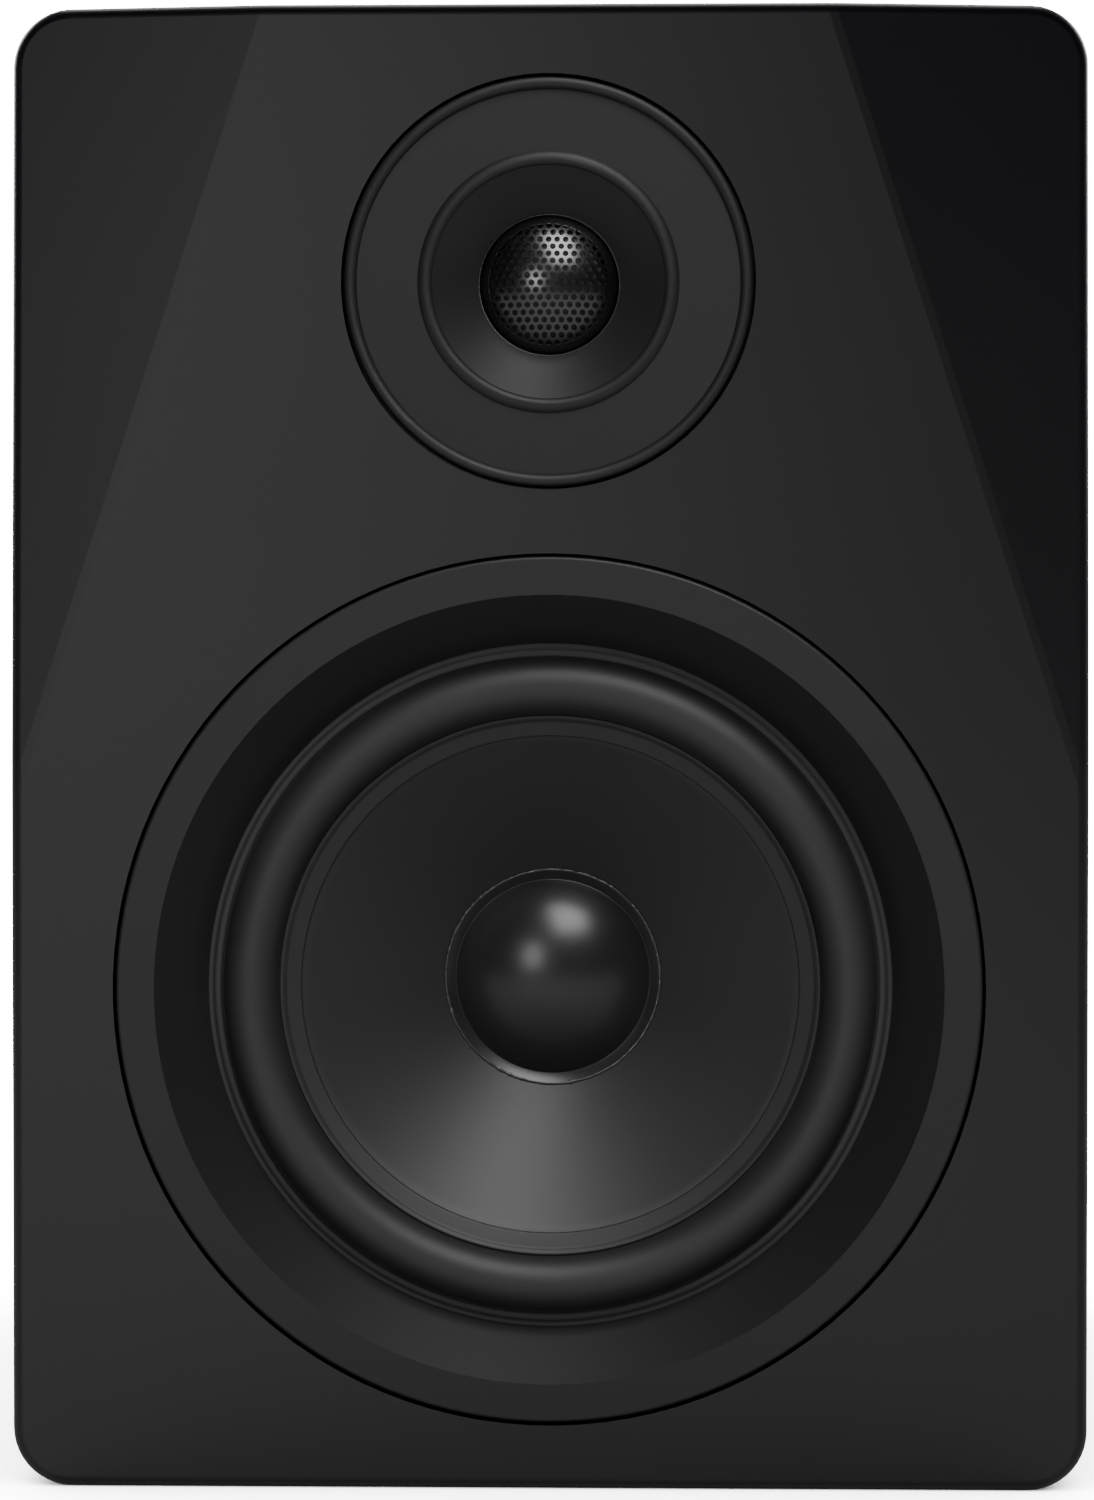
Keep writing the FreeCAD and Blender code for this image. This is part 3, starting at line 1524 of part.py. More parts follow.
def pilot_radius():
    return mm.board_screw_radius + mm.thread_clearance


def raised(label, sketches, z):
    """A body padded upwards from sketches on its XY plane, each with its own height."""
    body = new_body(label)
    for draw_on, lift, height in sketches:
        sketch = new_sketch(body, "XY_Plane", lift)
        draw_on(sketch)
        feature(body, "Pad", sketch, Length=height)
    return place(body, y=board_middle, z=z)


def crossover_board():
    """The circuit board on four spacers, with its screws into the cabinet floor."""
    corners = board_corners()
    hole = mm.board_screw_radius + mm.screw_clearance

    def board_outline(sketch):
        draw(sketch, rounded(mm.board_width, mm.board_length, mm.board_corner))
        draw_circles(sketch, hole, *corners)

    board = raised(
        "crossover_board", [(board_outline, 0, mm.board_thickness)], board_bottom
    )
    keep(board, "crossover_board")

    def spacer_outline(sketch):
        draw_circles(sketch, mm.standoff_radius, *corners)
        draw_circles(sketch, hole, *corners)

    spacers = raised(
        "crossover_spacers", [(spacer_outline, 0, mm.standoff_height)], floor_z
    )
    keep(spacers, "crossover_spacers")
    shank = mm.board_screw_bite + mm.standoff_height + mm.board_thickness
    screws = raised(
        "crossover_screws",
        [
            (lambda sketch: draw_circles(sketch, mm.board_screw_radius, *corners), 0, shank),
            (
                lambda sketch: draw_circles(sketch, mm.board_screw_head, *corners),
                shank,
                mm.board_screw_head_height,
            ),
        ],
        floor_z - mm.board_screw_bite,
    )
    recess = new_sketch(screws, "XY_Plane", shank + mm.board_screw_head_height)
    for x, y in corners:
        draw(recess, cross(x, y, mm.board_screw_head * 0.6, mm.board_screw_head * 0.17))
    cut(screws, "Pocket", recess, Length=mm.board_screw_head_height * 0.6)
    keep(screws, "crossover_screws")


def coil(label, radius, bore, height):
    """A hollow copper coil that stands up on its end."""

    def rings(sketch):
        draw_circles(sketch, radius, (0, 0))
        draw_circles(sketch, bore, (0, 0))

    return keep(raised(label, [(rings, 0, height)], 0), label)


def drums(label, pieces):
    """Round components that lie along y, each (radius, length, x, y), with rounded ends."""
    body = new_body(label)
    for radius, length, x, y in pieces:
        sketch = draw_circles(new_sketch(body, "XZ_Plane", -sized(y)), radius, (x, radius))
        slab(body, sketch, length)
    ends = [value for _, length, _, y in pieces for value in (y, y + length.value)]
    round_edges(body, lambda p: min(abs(p.y - end) for end in ends) < 1e-3, mm.can_edge)
    return keep(place(body, y=board_middle, z=board_top), label)


def crossover_parts():
    """Two coils at right angles, three capacitors and two wirewound resistors."""
    big = coil("woofer_inductor", mm.big_coil_radius, mm.big_coil_bore, mm.big_coil_height)
    place(big, x=mm.coils_x, y=board_middle + mm.big_coil_y, z=board_top)
    small = coil(
        "tweeter_inductor", mm.small_coil_radius, mm.small_coil_bore, mm.small_coil_height
    )
    place(
        small,
        x=mm.coils_x - mm.small_coil_height / 2,
        y=board_middle - mm.small_coil_y,
        z=board_top + mm.small_coil_radius,
        axis=(0, 1, 0),
        angle=90,
    )
    films = [
        (mm.film_cap_radius, mm.film_cap_length, 8, 2),
        (mm.small_film_cap_radius, mm.small_film_cap_length, 5, -31),
    ]
    drums("film_capacitors", films)
    drums("electrolytic_capacitor", [(mm.can_radius, mm.can_length, 26, 3)])
    resistors = new_body("crossover_resistors")
    sketch = new_sketch(resistors, "XY_Plane")
    for x, y in ((19, -33), (31, -23)):
        far_x, far_y = x + mm.resistor_width, y + mm.resistor_length
        draw(sketch, [(x, y), (far_x, y), (far_x, far_y), (x, far_y)])
    feature(resistors, "Pad", sketch, Length=mm.resistor_width)
    keep(place(resistors, y=board_middle, z=board_top), "crossover_resistors")


def hookup_wires():
    """Three pairs of insulated wire from the crossover to the drivers and the posts."""
    top, base, back = board_top.value, front_y.value, rear_y.value
    board = board_middle.value
    lug_y = base + (strip_front - mm.lug_thickness / 2).value
    lug_z = (woofer_height + lug_bottom + mm.lug_length).value
    side_x = 50
    woofer_routes = []
    for number, way in enumerate((-1, 1)):
        x = way * mm.lug_spacing.value / 2
        lane = -side_x - 3.5 * number
        spot = -40 + 4 * number
        woofer_routes.append(
            [
                (x, lug_y, lug_z),
                (x, lug_y, lug_z + 14 + 4 * number),
                (x - 20 - 2 * number, lug_y, lug_z + 20 + 7 * number),
                (lane, lug_y + 4, lug_z - 10),
                (lane, lug_y + 16, lug_z - 60),
                (lane + 2, board - 33, 45),
                (spot, board - 27, 32),
                (spot, board - 27, top),
            ]
        )
    cables("woofer_wires", woofer_routes, mm.hookup_radius)
    tab_y = base + (tab_front + mm.tab_length).value
    tab_z = tweeter_height.value
    tweeter_routes = []
    for number, way in enumerate((1, -1)):
        x = way * mm.tab_spacing.value / 2
        lane = side_x + 3.5 * number
        spot = 35 - 4 * number
        tweeter_routes.append(
            [
                (x, tab_y, tab_z),
                (x, tab_y + 12 + 4 * number, tab_z),
                (x + 18 + 3 * number, tab_y + 18 + 4 * number, tab_z - 4),
                (lane, tab_y + 14 + 4 * number, tab_z - 40),
                (lane, tab_y + 20 + 4 * number, tab_z - 100),
                (lane, board - 33, 60),
                (spot, board - 29, 36),
                (spot, board - 29, top),
            ]
        )
    cables("tweeter_wires", tweeter_routes, mm.hookup_radius)
    post_y = back - lug_wire_depth.value
    post_z = (mm.cup_height - mm.solder_lug_reach).value
    input_routes = []
    for way in (-1, 1):
        x = way * mm.post_spacing.value / 2
        input_routes.append(
            [
                (x, post_y, post_z),
                (x, post_y, post_z - 12),
                (x, post_y - 10, post_z - 22),
                (x, post_y - 13, top + 8),
                (x, post_y - 13, top),
            ]
        )
    cables("input_wires", input_routes, mm.hookup_radius)


def damping_wadding():
    """Sheets of wadding against both side walls and under the top."""
    thick, edge = mm.wadding_thickness, mm.wadding_round
    length = mm.cabinet_depth - mm.wadding_end_gap * 2
    height = mm.cabinet_height - mm.wadding_foot_gap * 2
    width = mm.cabinet_width - mm.wadding_side_gap * 2
    side_x = half_width - mm.panel_thickness - thick / 2
    top_z = mm.cabinet_height - mm.panel_thickness - thick / 2
    body = new_body("damping_wadding")
    sketch = new_sketch(body, "XZ_Plane")
    for side in (-1, 1):
        outline = rounded(thick, height, edge, half_height)
        draw(sketch, [(c[0] + side_x * side, *c[1:]) for c in outline])
    draw(sketch, rounded(width, thick, edge, top_z))
    slab(body, sketch, length)
    keep(place(body, y=length / -2), "damping_wadding")


def build():
    front_baffle()
    wall_panels()
    rear_panel()
    woofer_trim_ring()
    woofer_basket()
    woofer_fixings()
    woofer_surround()
    woofer_cone()
    dust_cap()
    voice_coil()
    spider()
    woofer_motor()
    woofer_terminals()
    tweeter_faceplate()
    tweeter_fixings()
    tweeter_grille()
    tweeter_diaphragm()
    tweeter_motor()
    port()
    terminal_cup()
    binding_post("red", -1)
    binding_post("black", 1)
    post_studs()
    post_hardware()
    crossover_board()
    crossover_parts()
    hookup_wires()
    damping_wadding()
    doc.recompute()


def check_and_export():
    """Stops on any failed object or bad shape, then writes one STEP file per sub-part."""
    for thing in doc.Objects:
        if {"Invalid", "Error"} & set(thing.State):
            raise ValueError(f"{thing.Label} failed: {thing.State}")
    for thing in sub_parts:
        shape = thing.Shape
        if shape.isNull() or not shape.isValid() or not shape.Solids:
            raise ValueError(f"{thing.Label} has no valid solid")
    os.makedirs("parts", exist_ok=True)
    for thing in sub_parts:
        thing.Shape.exportStep(os.path.join("parts", thing.Label + ".step"))
    print(len(sub_parts), "sub-parts written")


build()
check_and_export()
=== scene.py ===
import bpy
import bmesh
import math
from mathutils import Matrix, Vector, noise


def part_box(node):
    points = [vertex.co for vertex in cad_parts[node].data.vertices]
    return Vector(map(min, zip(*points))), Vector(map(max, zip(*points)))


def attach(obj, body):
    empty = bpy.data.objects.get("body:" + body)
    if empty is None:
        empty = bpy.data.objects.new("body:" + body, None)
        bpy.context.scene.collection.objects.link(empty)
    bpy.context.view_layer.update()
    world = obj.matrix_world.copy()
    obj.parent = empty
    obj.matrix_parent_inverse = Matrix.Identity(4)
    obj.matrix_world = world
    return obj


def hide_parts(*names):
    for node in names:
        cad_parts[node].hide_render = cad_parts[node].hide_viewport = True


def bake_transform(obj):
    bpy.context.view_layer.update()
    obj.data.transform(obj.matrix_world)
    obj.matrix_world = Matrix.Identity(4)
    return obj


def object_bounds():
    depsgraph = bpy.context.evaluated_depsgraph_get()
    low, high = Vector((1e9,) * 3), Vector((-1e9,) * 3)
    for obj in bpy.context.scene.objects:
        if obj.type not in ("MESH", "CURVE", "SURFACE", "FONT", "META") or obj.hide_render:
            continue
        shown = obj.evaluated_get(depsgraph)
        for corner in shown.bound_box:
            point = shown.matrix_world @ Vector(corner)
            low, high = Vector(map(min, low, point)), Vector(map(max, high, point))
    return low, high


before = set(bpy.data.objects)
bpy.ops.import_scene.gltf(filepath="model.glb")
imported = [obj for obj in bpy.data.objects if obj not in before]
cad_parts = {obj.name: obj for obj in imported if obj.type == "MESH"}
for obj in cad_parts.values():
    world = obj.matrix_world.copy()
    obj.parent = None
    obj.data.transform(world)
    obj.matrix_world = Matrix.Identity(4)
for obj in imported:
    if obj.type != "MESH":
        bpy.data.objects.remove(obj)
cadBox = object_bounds()
print("frame loaded:", len(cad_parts), "nodes")

mm = 0.001
frontY = cadBox[0].y  # the plane that the baffle's face and the trim ring share
cabinetTop = cadBox[1].z


def middleOf(node):
    low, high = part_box(node)
    return (low + high) / 2


wooferAxis = middleOf("woofer_magnet").z
tweeterAxis = middleOf("tweeter_magnet").z


class Field:
    # Wraps a socket of a node tree, so that sums and products on it are written as such.
    def __init__(self, tree, socket=None):
        self.tree = tree
        self.socket = socket

    def make(self, kind, settings=None, sockets=None, output=0):
        node = self.tree.nodes.new(kind)
        for name, value in (settings or {}).items():
            if name == "stops":
                self.setStops(node.color_ramp, value)
            else:
                setattr(node, name, value)
        for key, value in (sockets or {}).items():
            place = node.inputs[key]
            if isinstance(value, (list, tuple)) and isinstance(value[0], Field):
                for part in value:
                    self.tree.links.new(part.socket, place)
            elif isinstance(value, Field):
                self.tree.links.new(value.socket, place)
            else:
                place.default_value = value
        return Field(self.tree, node.outputs[output] if node.outputs else None)

    def also(self, output):
        # Another output of the same node.
        return Field(self.tree, self.socket.node.outputs[output])

    def setStops(self, ramp, stops):
        while len(ramp.elements) < len(stops):
            ramp.elements.new(0.5)
        for element, (position, colour) in zip(ramp.elements, stops):
            element.position = position
            element.color = colour

    def sum(self, operation, *values):
        return self.make("ShaderNodeMath", {"operation": operation}, dict(enumerate(values)))

    def __add__(self, other):
        return self.sum("ADD", self, other)

    def __sub__(self, other):
        return self.sum("SUBTRACT", self, other)

    def __mul__(self, other):
        return self.sum("MULTIPLY", self, other)

    def __truediv__(self, other):
        return self.sum("DIVIDE", self, other)

    def __rsub__(self, other):
        return self.sum("SUBTRACT", other, self)

    def __lt__(self, other):
        return self.sum("LESS_THAN", self, other)

    __radd__ = __add__
    __rmul__ = __mul__


def newMaterial(name):
    material = bpy.data.materials.new(name)
    material.use_nodes = True
    material.node_tree.nodes.clear()
    return material, Field(material.node_tree)


def finishMaterial(shade, **sockets):
    named = {key.replace("_", " "): value for key, value in sockets.items()}
    surface = shade.make("ShaderNodeBsdfPrincipled", {}, named)
    shade.make("ShaderNodeOutputMaterial", {}, {"Surface": surface})


def objectSpace(shade, scale=(1, 1, 1), middle=(0, 0, 0), turn=(0, 0, 0)):
    place = shade.make("ShaderNodeTexCoord", output="Object")
    moved = shade.make("ShaderNodeMapping", {}, {"Vector": place, "Location": tuple(-v for v in middle)})
    return shade.make("ShaderNodeMapping", {}, {"Vector": moved, "Rotation": turn, "Scale": scale})


def speckle(shade, place, scale, detail=2.0, roughness=0.5):
    sockets = {"Vector": place, "Scale": scale, "Detail": detail, "Roughness": roughness}
    return shade.make("ShaderNodeTexNoise", {}, sockets)


def between(factor, low, high):
    return low + factor * (high - low)


def tint(shade, factor, first, second):
    first, second = [value if isinstance(value, Field) else (*value, 1) for value in (first, second)]
    return shade.make("ShaderNodeMix", {"data_type": "RGBA"}, {0: factor, 6: first, 7: second}, 2)


def relief(shade, height, strength, distance):
    return shade.make("ShaderNodeBump", {}, {"Height": height, "Strength": strength, "Distance": distance})


def stepped(shade, value, low, high):
    # 0 under low, 1 over high, and straight between.
    return shade.make("ShaderNodeMapRange", {}, {"Value": value, "From Min": low, "From Max": high})


finishes = {
    "lacquer": {
        "dark": (0.0040, 0.0040, 0.0064), "light": (0.0055, 0.0054, 0.0084),
        "glossy": 0.36, "dull": 0.40, "sparkle": 0.05, "grain": 2600, "drift": 11, "depth": 0.18,
    },
    "wrap": {
        "dark": (0.012, 0.012, 0.013), "light": (0.019, 0.019, 0.020),
        "glossy": 0.46, "dull": 0.58, "sparkle": 0.12, "grain": 1100, "drift": 14, "depth": 0.75,
    },
    "trim": {
        "dark": (0.0095, 0.0095, 0.0098), "light": (0.0120, 0.0120, 0.0124),
        "glossy": 0.48, "dull": 0.54, "shine": 0.35,
        "sparkle": 0.07, "grain": 3200, "drift": 25, "depth": 0.30,
    },
    "faceplate": {
        "dark": (0.0070, 0.0070, 0.0072), "light": (0.0090, 0.0090, 0.0093),
        "glossy": 0.50, "dull": 0.56, "shine": 0.35,
        "sparkle": 0.06, "grain": 3400, "drift": 30, "depth": 0.28,
    },
    "rubber": {
        "dark": (0.0110, 0.0110, 0.0111), "light": (0.0150, 0.0150, 0.0151),
        "glossy": 0.52, "dull": 0.58, "sparkle": 0.08, "grain": 2200, "drift": 40, "depth": 0.18,
    },
    "cone": {
        "dark": (0.0140, 0.0140, 0.0143), "light": (0.0180, 0.0180, 0.0183),
        "glossy": 0.48, "dull": 0.54, "sparkle": 0.10, "grain": 2400, "drift": 30, "depth": 0.25,
    },
    "cap": {
        "dark": (0.0125, 0.0125, 0.0128), "light": (0.0150, 0.0150, 0.0153),
        "glossy": 0.29, "dull": 0.32, "sparkle": 0.03, "grain": 3000, "drift": 60, "depth": 0.06,
    },
    "glue": {
        "dark": (0.018, 0.018, 0.018), "light": (0.035, 0.035, 0.035),
        "glossy": 0.10, "dull": 0.30, "sparkle": 0.10, "grain": 1500, "drift": 300, "depth": 0.5,
    },
    "port": {
        "dark": (0.010, 0.010, 0.010), "light": (0.014, 0.014, 0.014),
        "glossy": 0.38, "dull": 0.48, "sparkle": 0.08, "grain": 2400, "drift": 25, "depth": 0.35,
    },
    "redKnob": {
        "dark": (0.30, 0.012, 0.010), "light": (0.36, 0.018, 0.014),
        "glossy": 0.24, "dull": 0.34, "sparkle": 0.05, "grain": 1800, "drift": 90, "depth": 0.12,
    },
    "blackKnob": {
        "dark": (0.011, 0.011, 0.012), "light": (0.016, 0.016, 0.017),
        "glossy": 0.24, "dull": 0.34, "sparkle": 0.05, "grain": 1800, "drift": 90, "depth": 0.12,
    },
    "basketPaint": {
        "dark": (0.014, 0.014, 0.014), "light": (0.022, 0.022, 0.022),
        "glossy": 0.42, "dull": 0.56, "sparkle": 0.14, "grain": 1500, "drift": 30, "depth": 0.60,
    },
    "filmWrap": {
        "dark": (0.42, 0.34, 0.05), "light": (0.52, 0.42, 0.07),
        "glossy": 0.26, "dull": 0.38, "sparkle": 0.06, "grain": 700, "drift": 70, "depth": 0.25,
    },
    "canSleeve": {
        "dark": (0.010, 0.022, 0.060), "light": (0.016, 0.032, 0.080),
        "glossy": 0.22, "dull": 0.32, "sparkle": 0.05, "grain": 900, "drift": 60, "depth": 0.15,
    },
    "ceramic": {
        "dark": (0.55, 0.53, 0.48), "light": (0.66, 0.64, 0.60),
        "glossy": 0.62, "dull": 0.80, "sparkle": 0.12, "grain": 900, "drift": 80, "depth": 0.7,
    },
    "blackSleeve": {
        "dark": (0.012, 0.012, 0.012), "light": (0.018, 0.018, 0.018),
        "glossy": 0.34, "dull": 0.44, "sparkle": 0.06, "grain": 1200, "drift": 60, "depth": 0.2,
    },
    "redSleeve": {
        "dark": (0.26, 0.012, 0.010), "light": (0.34, 0.018, 0.014),
        "glossy": 0.34, "dull": 0.44, "sparkle": 0.06, "grain": 1200, "drift": 60, "depth": 0.2,
    },
    "ferrite": {
        "dark": (0.035, 0.035, 0.037), "light": (0.060, 0.060, 0.064),
        "glossy": 0.48, "dull": 0.70, "sparkle": 0.20, "grain": 900, "drift": 50, "depth": 0.8,
    },
}
metals = {
    "zinc": {
        "dark": (0.46, 0.45, 0.42), "light": (0.60, 0.60, 0.58),
        "glossy": 0.24, "dull": 0.42, "grain": 900,
    },
    "blackZinc": {
        "dark": (0.022, 0.022, 0.024), "light": (0.05, 0.05, 0.05),
        "glossy": 0.28, "dull": 0.44, "grain": 900,
    },
    "guard": {
        "dark": (0.06, 0.06, 0.062), "light": (0.10, 0.10, 0.103),
        "glossy": 0.24, "dull": 0.32, "grain": 1600,
    },
    "gold": {
        "dark": (0.72, 0.47, 0.16), "light": (0.84, 0.60, 0.26),
        "glossy": 0.12, "dull": 0.26, "grain": 1200,
    },
    "tin": {
        "dark": (0.55, 0.50, 0.40), "light": (0.68, 0.64, 0.55),
        "glossy": 0.22, "dull": 0.40, "grain": 1000,
    },
    "foil": {
        "dark": (0.62, 0.62, 0.63), "light": (0.74, 0.74, 0.75),
        "glossy": 0.22, "dull": 0.34, "grain": 800,
    },
    "copper": {
        "dark": (0.55, 0.19, 0.07), "light": (0.70, 0.28, 0.11),
        "glossy": 0.20, "dull": 0.34, "grain": 1400,
    },
}


def mouldedMaterial(name):
    # Plastic, lacquer or rubber: an even fine texture over a slow drift of tone and gloss.
    look = finishes[name]
    material, shade = newMaterial(name)
    place = objectSpace(shade)
    grain = speckle(shade, place, look["grain"], 3.0, 0.6)
    drift = speckle(shade, place, look["drift"], 3.0)
    mark = stepped(shade, speckle(shade, place, look["drift"] * 9, 4.0, 0.7), 0.66, 0.74)
    colour = tint(shade, drift, look["dark"], look["light"])
    rough = between(drift, look["glossy"], look["dull"]) + (grain - 0.5) * look["sparkle"] + mark * 0.03
    normal = relief(shade, grain, look["depth"], 0.1 / look["grain"])
    shine = look.get("shine", 0.5)  # some plastics are given a weaker reflection
    finishMaterial(shade, Base_Color=colour, Roughness=rough, Normal=normal, Specular_IOR_Level=shine)
    return material


def wrapMaterial(name):
    # Vinyl sheet with a pebbled grain, a little paler and smoother on top of each pebble.
    look = finishes["wrap"]
    material, shade = newMaterial(name)
    place = objectSpace(shade)
    bent = speckle(shade, place, 260, 2.0)
    sockets = {"Vector": place, "Scale": look["grain"], "Smoothness": 0.7}
    pebble = shade.make("ShaderNodeTexVoronoi", {"feature": "SMOOTH_F1"}, sockets)
    drift = speckle(shade, place, look["drift"], 3.0)
    height = (1 - pebble) * 0.8 + bent * 0.4
    colour = tint(shade, between(drift, 0.0, 0.7) + height * 0.2, look["dark"], look["light"])
    rough = between(drift, look["glossy"], look["dull"]) + (0.5 - height) * look["sparkle"]
    normal = relief(shade, height, look["depth"], 0.09 * mm)
    finishMaterial(shade, Base_Color=colour, Roughness=rough, Normal=normal)
    return material


def metalMaterial(name):
    # Plated or bare metal: fine scratches across a slow change of tone.
    look = metals[name]
    material, shade = newMaterial(name)
    place = objectSpace(shade)
    drift = speckle(shade, place, 120, 3.0)
    scratch = speckle(shade, objectSpace(shade, (1, 12, 1), turn=(0.4, 0.2, 0.7)), look["grain"], 3.0, 0.6)
    colour = tint(shade, drift, look["dark"], look["light"])
    rough = between(drift, look["glossy"], look["dull"]) + (scratch - 0.5) * 0.12
    normal = relief(shade, scratch, 0.15, 0.03 * mm)
    finishMaterial(shade, Base_Color=colour, Metallic=1.0, Roughness=rough, Normal=normal)
    return material


clothLooks = {
    "spiderCloth": {
        "dark": (0.30, 0.21, 0.07), "light": (0.46, 0.34, 0.14),
        "pitch": 0.55 * mm, "dull": 0.85,
    },
    "domeSilk": {
        "dark": (0.010, 0.010, 0.011), "light": (0.024, 0.024, 0.026),
        "pitch": 0.30 * mm, "dull": 0.60,
    },
}


def clothMaterial(name):
    # Plain weave: two sets of threads that pass over and under each other, stiffened with resin.
    look = clothLooks[name]
    material, shade = newMaterial(name)
    scale = 1 / look["pitch"]
    apart = shade.make("ShaderNodeSeparateXYZ", {}, {0: objectSpace(shade, (scale,) * 3)})
    warp, weft = apart * math.tau, apart.also("Z") * math.tau
    over = shade.sum("SINE", warp) * shade.sum("SINE", weft) * 0.5 + 0.5
    thread = shade.sum("ABSOLUTE", shade.sum("COSINE", warp / 2)) * 0.5
    thread = thread + shade.sum("ABSOLUTE", shade.sum("COSINE", weft / 2)) * 0.5
    resin = speckle(shade, objectSpace(shade), 160, 3.0)
    colour = tint(shade, over * 0.6 + resin * 0.4, look["dark"], look["light"])
    rough = between(resin, look["dull"] - 0.15, look["dull"])
    normal = relief(shade, thread + over, 0.5, look["pitch"] / 5)
    finishMaterial(shade, Base_Color=colour, Roughness=rough, Normal=normal)
    return material


boardLook = {
    "dark": (0.10, 0.045, 0.016), "light": (0.21, 0.105, 0.040), "paleFibre": (0.27, 0.16, 0.075),
    "glossy": 0.55, "dull": 0.75,
}


def boardMaterial(name):
    # Pressed fibre board: brown, with short pale and dark fibres.
    look = boardLook
    material, shade = newMaterial(name)
    fibre = speckle(shade, objectSpace(shade, (1, 5, 2), turn=(0, 0, 0.5)), 700, 4.0, 0.7)
    cross = speckle(shade, objectSpace(shade, (5, 1, 2), turn=(0, 0, 0.2)), 600, 4.0, 0.7)
    body = tint(shade, fibre, look["dark"], look["light"])
    colour = tint(shade, stepped(shade, cross, 0.55, 0.75), body, look["paleFibre"])
    rough = between(fibre, look["glossy"], look["dull"])
    normal = relief(shade, fibre + cross, 0.35, 0.06 * mm)
    finishMaterial(shade, Base_Color=colour, Roughness=rough, Normal=normal)
    return material


def wireMaterial(name):
    # Enamelled copper wire: a clear coat over metal that darkens here and there.
    look = metals["copper"]
    material, shade = newMaterial(name)
    place = objectSpace(shade)
    drift = speckle(shade, place, 220, 3.0)
    colour = tint(shade, drift, look["dark"], look["light"])
    rough = between(speckle(shade, place, 900, 2.0), 0.18, 0.34)
    coat = between(drift, 0.6, 1.0)
    coating = {"Coat_Weight": coat, "Coat_Roughness": 0.12}
    finishMaterial(shade, Base_Color=colour, Metallic=0.9, Roughness=rough, **coating)
    return material


fluffLook = {"dark": (0.50, 0.50, 0.48), "light": (0.80, 0.80, 0.78), "glossy": 0.85, "dull": 0.98}


def fluffMaterial(name):
    # Polyester wadding: off-white, with tangled strands.
    look = fluffLook
    material, shade = newMaterial(name)
    place = objectSpace(shade)
    bent = speckle(shade, place, 60, 3.0)
    strand = speckle(shade, objectSpace(shade, (1, 3, 1), turn=(0.3, 0.5, 0.9)), 900, 5.0, 0.75)
    colour = tint(shade, bent * 0.5 + strand * 0.5, look["dark"], look["light"])
    rough = between(strand, look["glossy"], look["dull"])
    normal = relief(shade, strand * 0.6 + bent, 0.9, 0.5 * mm)
    finishMaterial(shade, Base_Color=colour, Roughness=rough, Normal=normal)
    return material


view = {
    "distance": 0.70,  # from the face
    "right": 0.0185,
    "above": 0.0158,  # over the middle of the face
    "lens": 99.25,
    "sensor": 36,
    "aimRight": -0.0002,
    "aimUp": -0.0002,
}
studio = {
    "lamps": {  # way from the woofer, reach, size and power
        "key": ((0.18, -0.55, 0.82), 1.20, (0.55, 0.80), 15.5),
        "bank": ((-0.20, -0.98, 0.20), 1.75, (0.62, 0.62), 3.4),
        "low": ((-0.14, -0.98, -0.40), 1.75, (0.75, 0.62), 2.8),
        "spot": ((-0.31, -0.92, 0.26), 1.15, (0.26, 0.36), 2.6),
        "rearLeft": ((-0.80, 0.75, 0.55), 1.50, (0.90, 0.90), 20.0),
        "rearRight": ((0.80, 0.75, 0.55), 1.50, (0.90, 0.90), 20.0),
        "sky": ((0.0, 1.10, 2.20), 2.60, (1.60, 1.60), 30.0),
    },
    "flagged": {  # what each lamp leaves in the dark
        "key": ["front_baffle"],
        "bank": ["dust_cap_shell", "tweeter_guard_mesh"],
        "low": ["dust_cap_shell", "tweeter_guard_mesh", "woofer_cone_body"],
        "spot": ["front_baffle", "woofer_trim_ring", "tweeter_faceplate", "woofer_surround_rubber"],
    },
    "dimness": 0.02,  # of the room, as the object sees it
    "white": 20.0,  # of the room and the floor, as the camera sees them
    "paper": (0.42, 0.42, 0.42, 1),  # of the floor, as the object sees it
    "paintedShadowReach": 0.12,  # of the soft shadow painted round the object into the floor's glow
    "floorSize": 4.0,
}


def aimAt(thing, target):
    thing.rotation_euler = (Vector(target) - thing.location).to_track_quat("-Z", "Y").to_euler()


def addObject(name, data):
    thing = bpy.data.objects.new(name, data)
    bpy.context.scene.collection.objects.link(thing)
    return thing


def addCamera():
    faceMiddle = Vector((0, frontY, cabinetTop / 2))
    data = bpy.data.cameras.new("camera")
    camera = addObject("camera", data)
    data.lens = view["lens"]
    data.sensor_width = view["sensor"]
    data.clip_start, data.clip_end = 0.05, 20
    camera.location = faceMiddle + Vector((view["right"], -view["distance"], view["above"]))
    aimAt(camera, faceMiddle + Vector((view["aimRight"], 0, view["aimUp"])))
    bpy.context.scene.camera = camera


def flagOff(lamp, names):
    # A flag keeps a lamp's light off these pieces.
    shaded = bpy.data.collections.new(lamp.name + "Flag")
    for name in names:
        shaded.objects.link(bpy.data.objects[name])
    for member in shaded.collection_objects:
        member.light_linking.link_state = "EXCLUDE"
    lamp.light_linking.receiver_collection = shaded


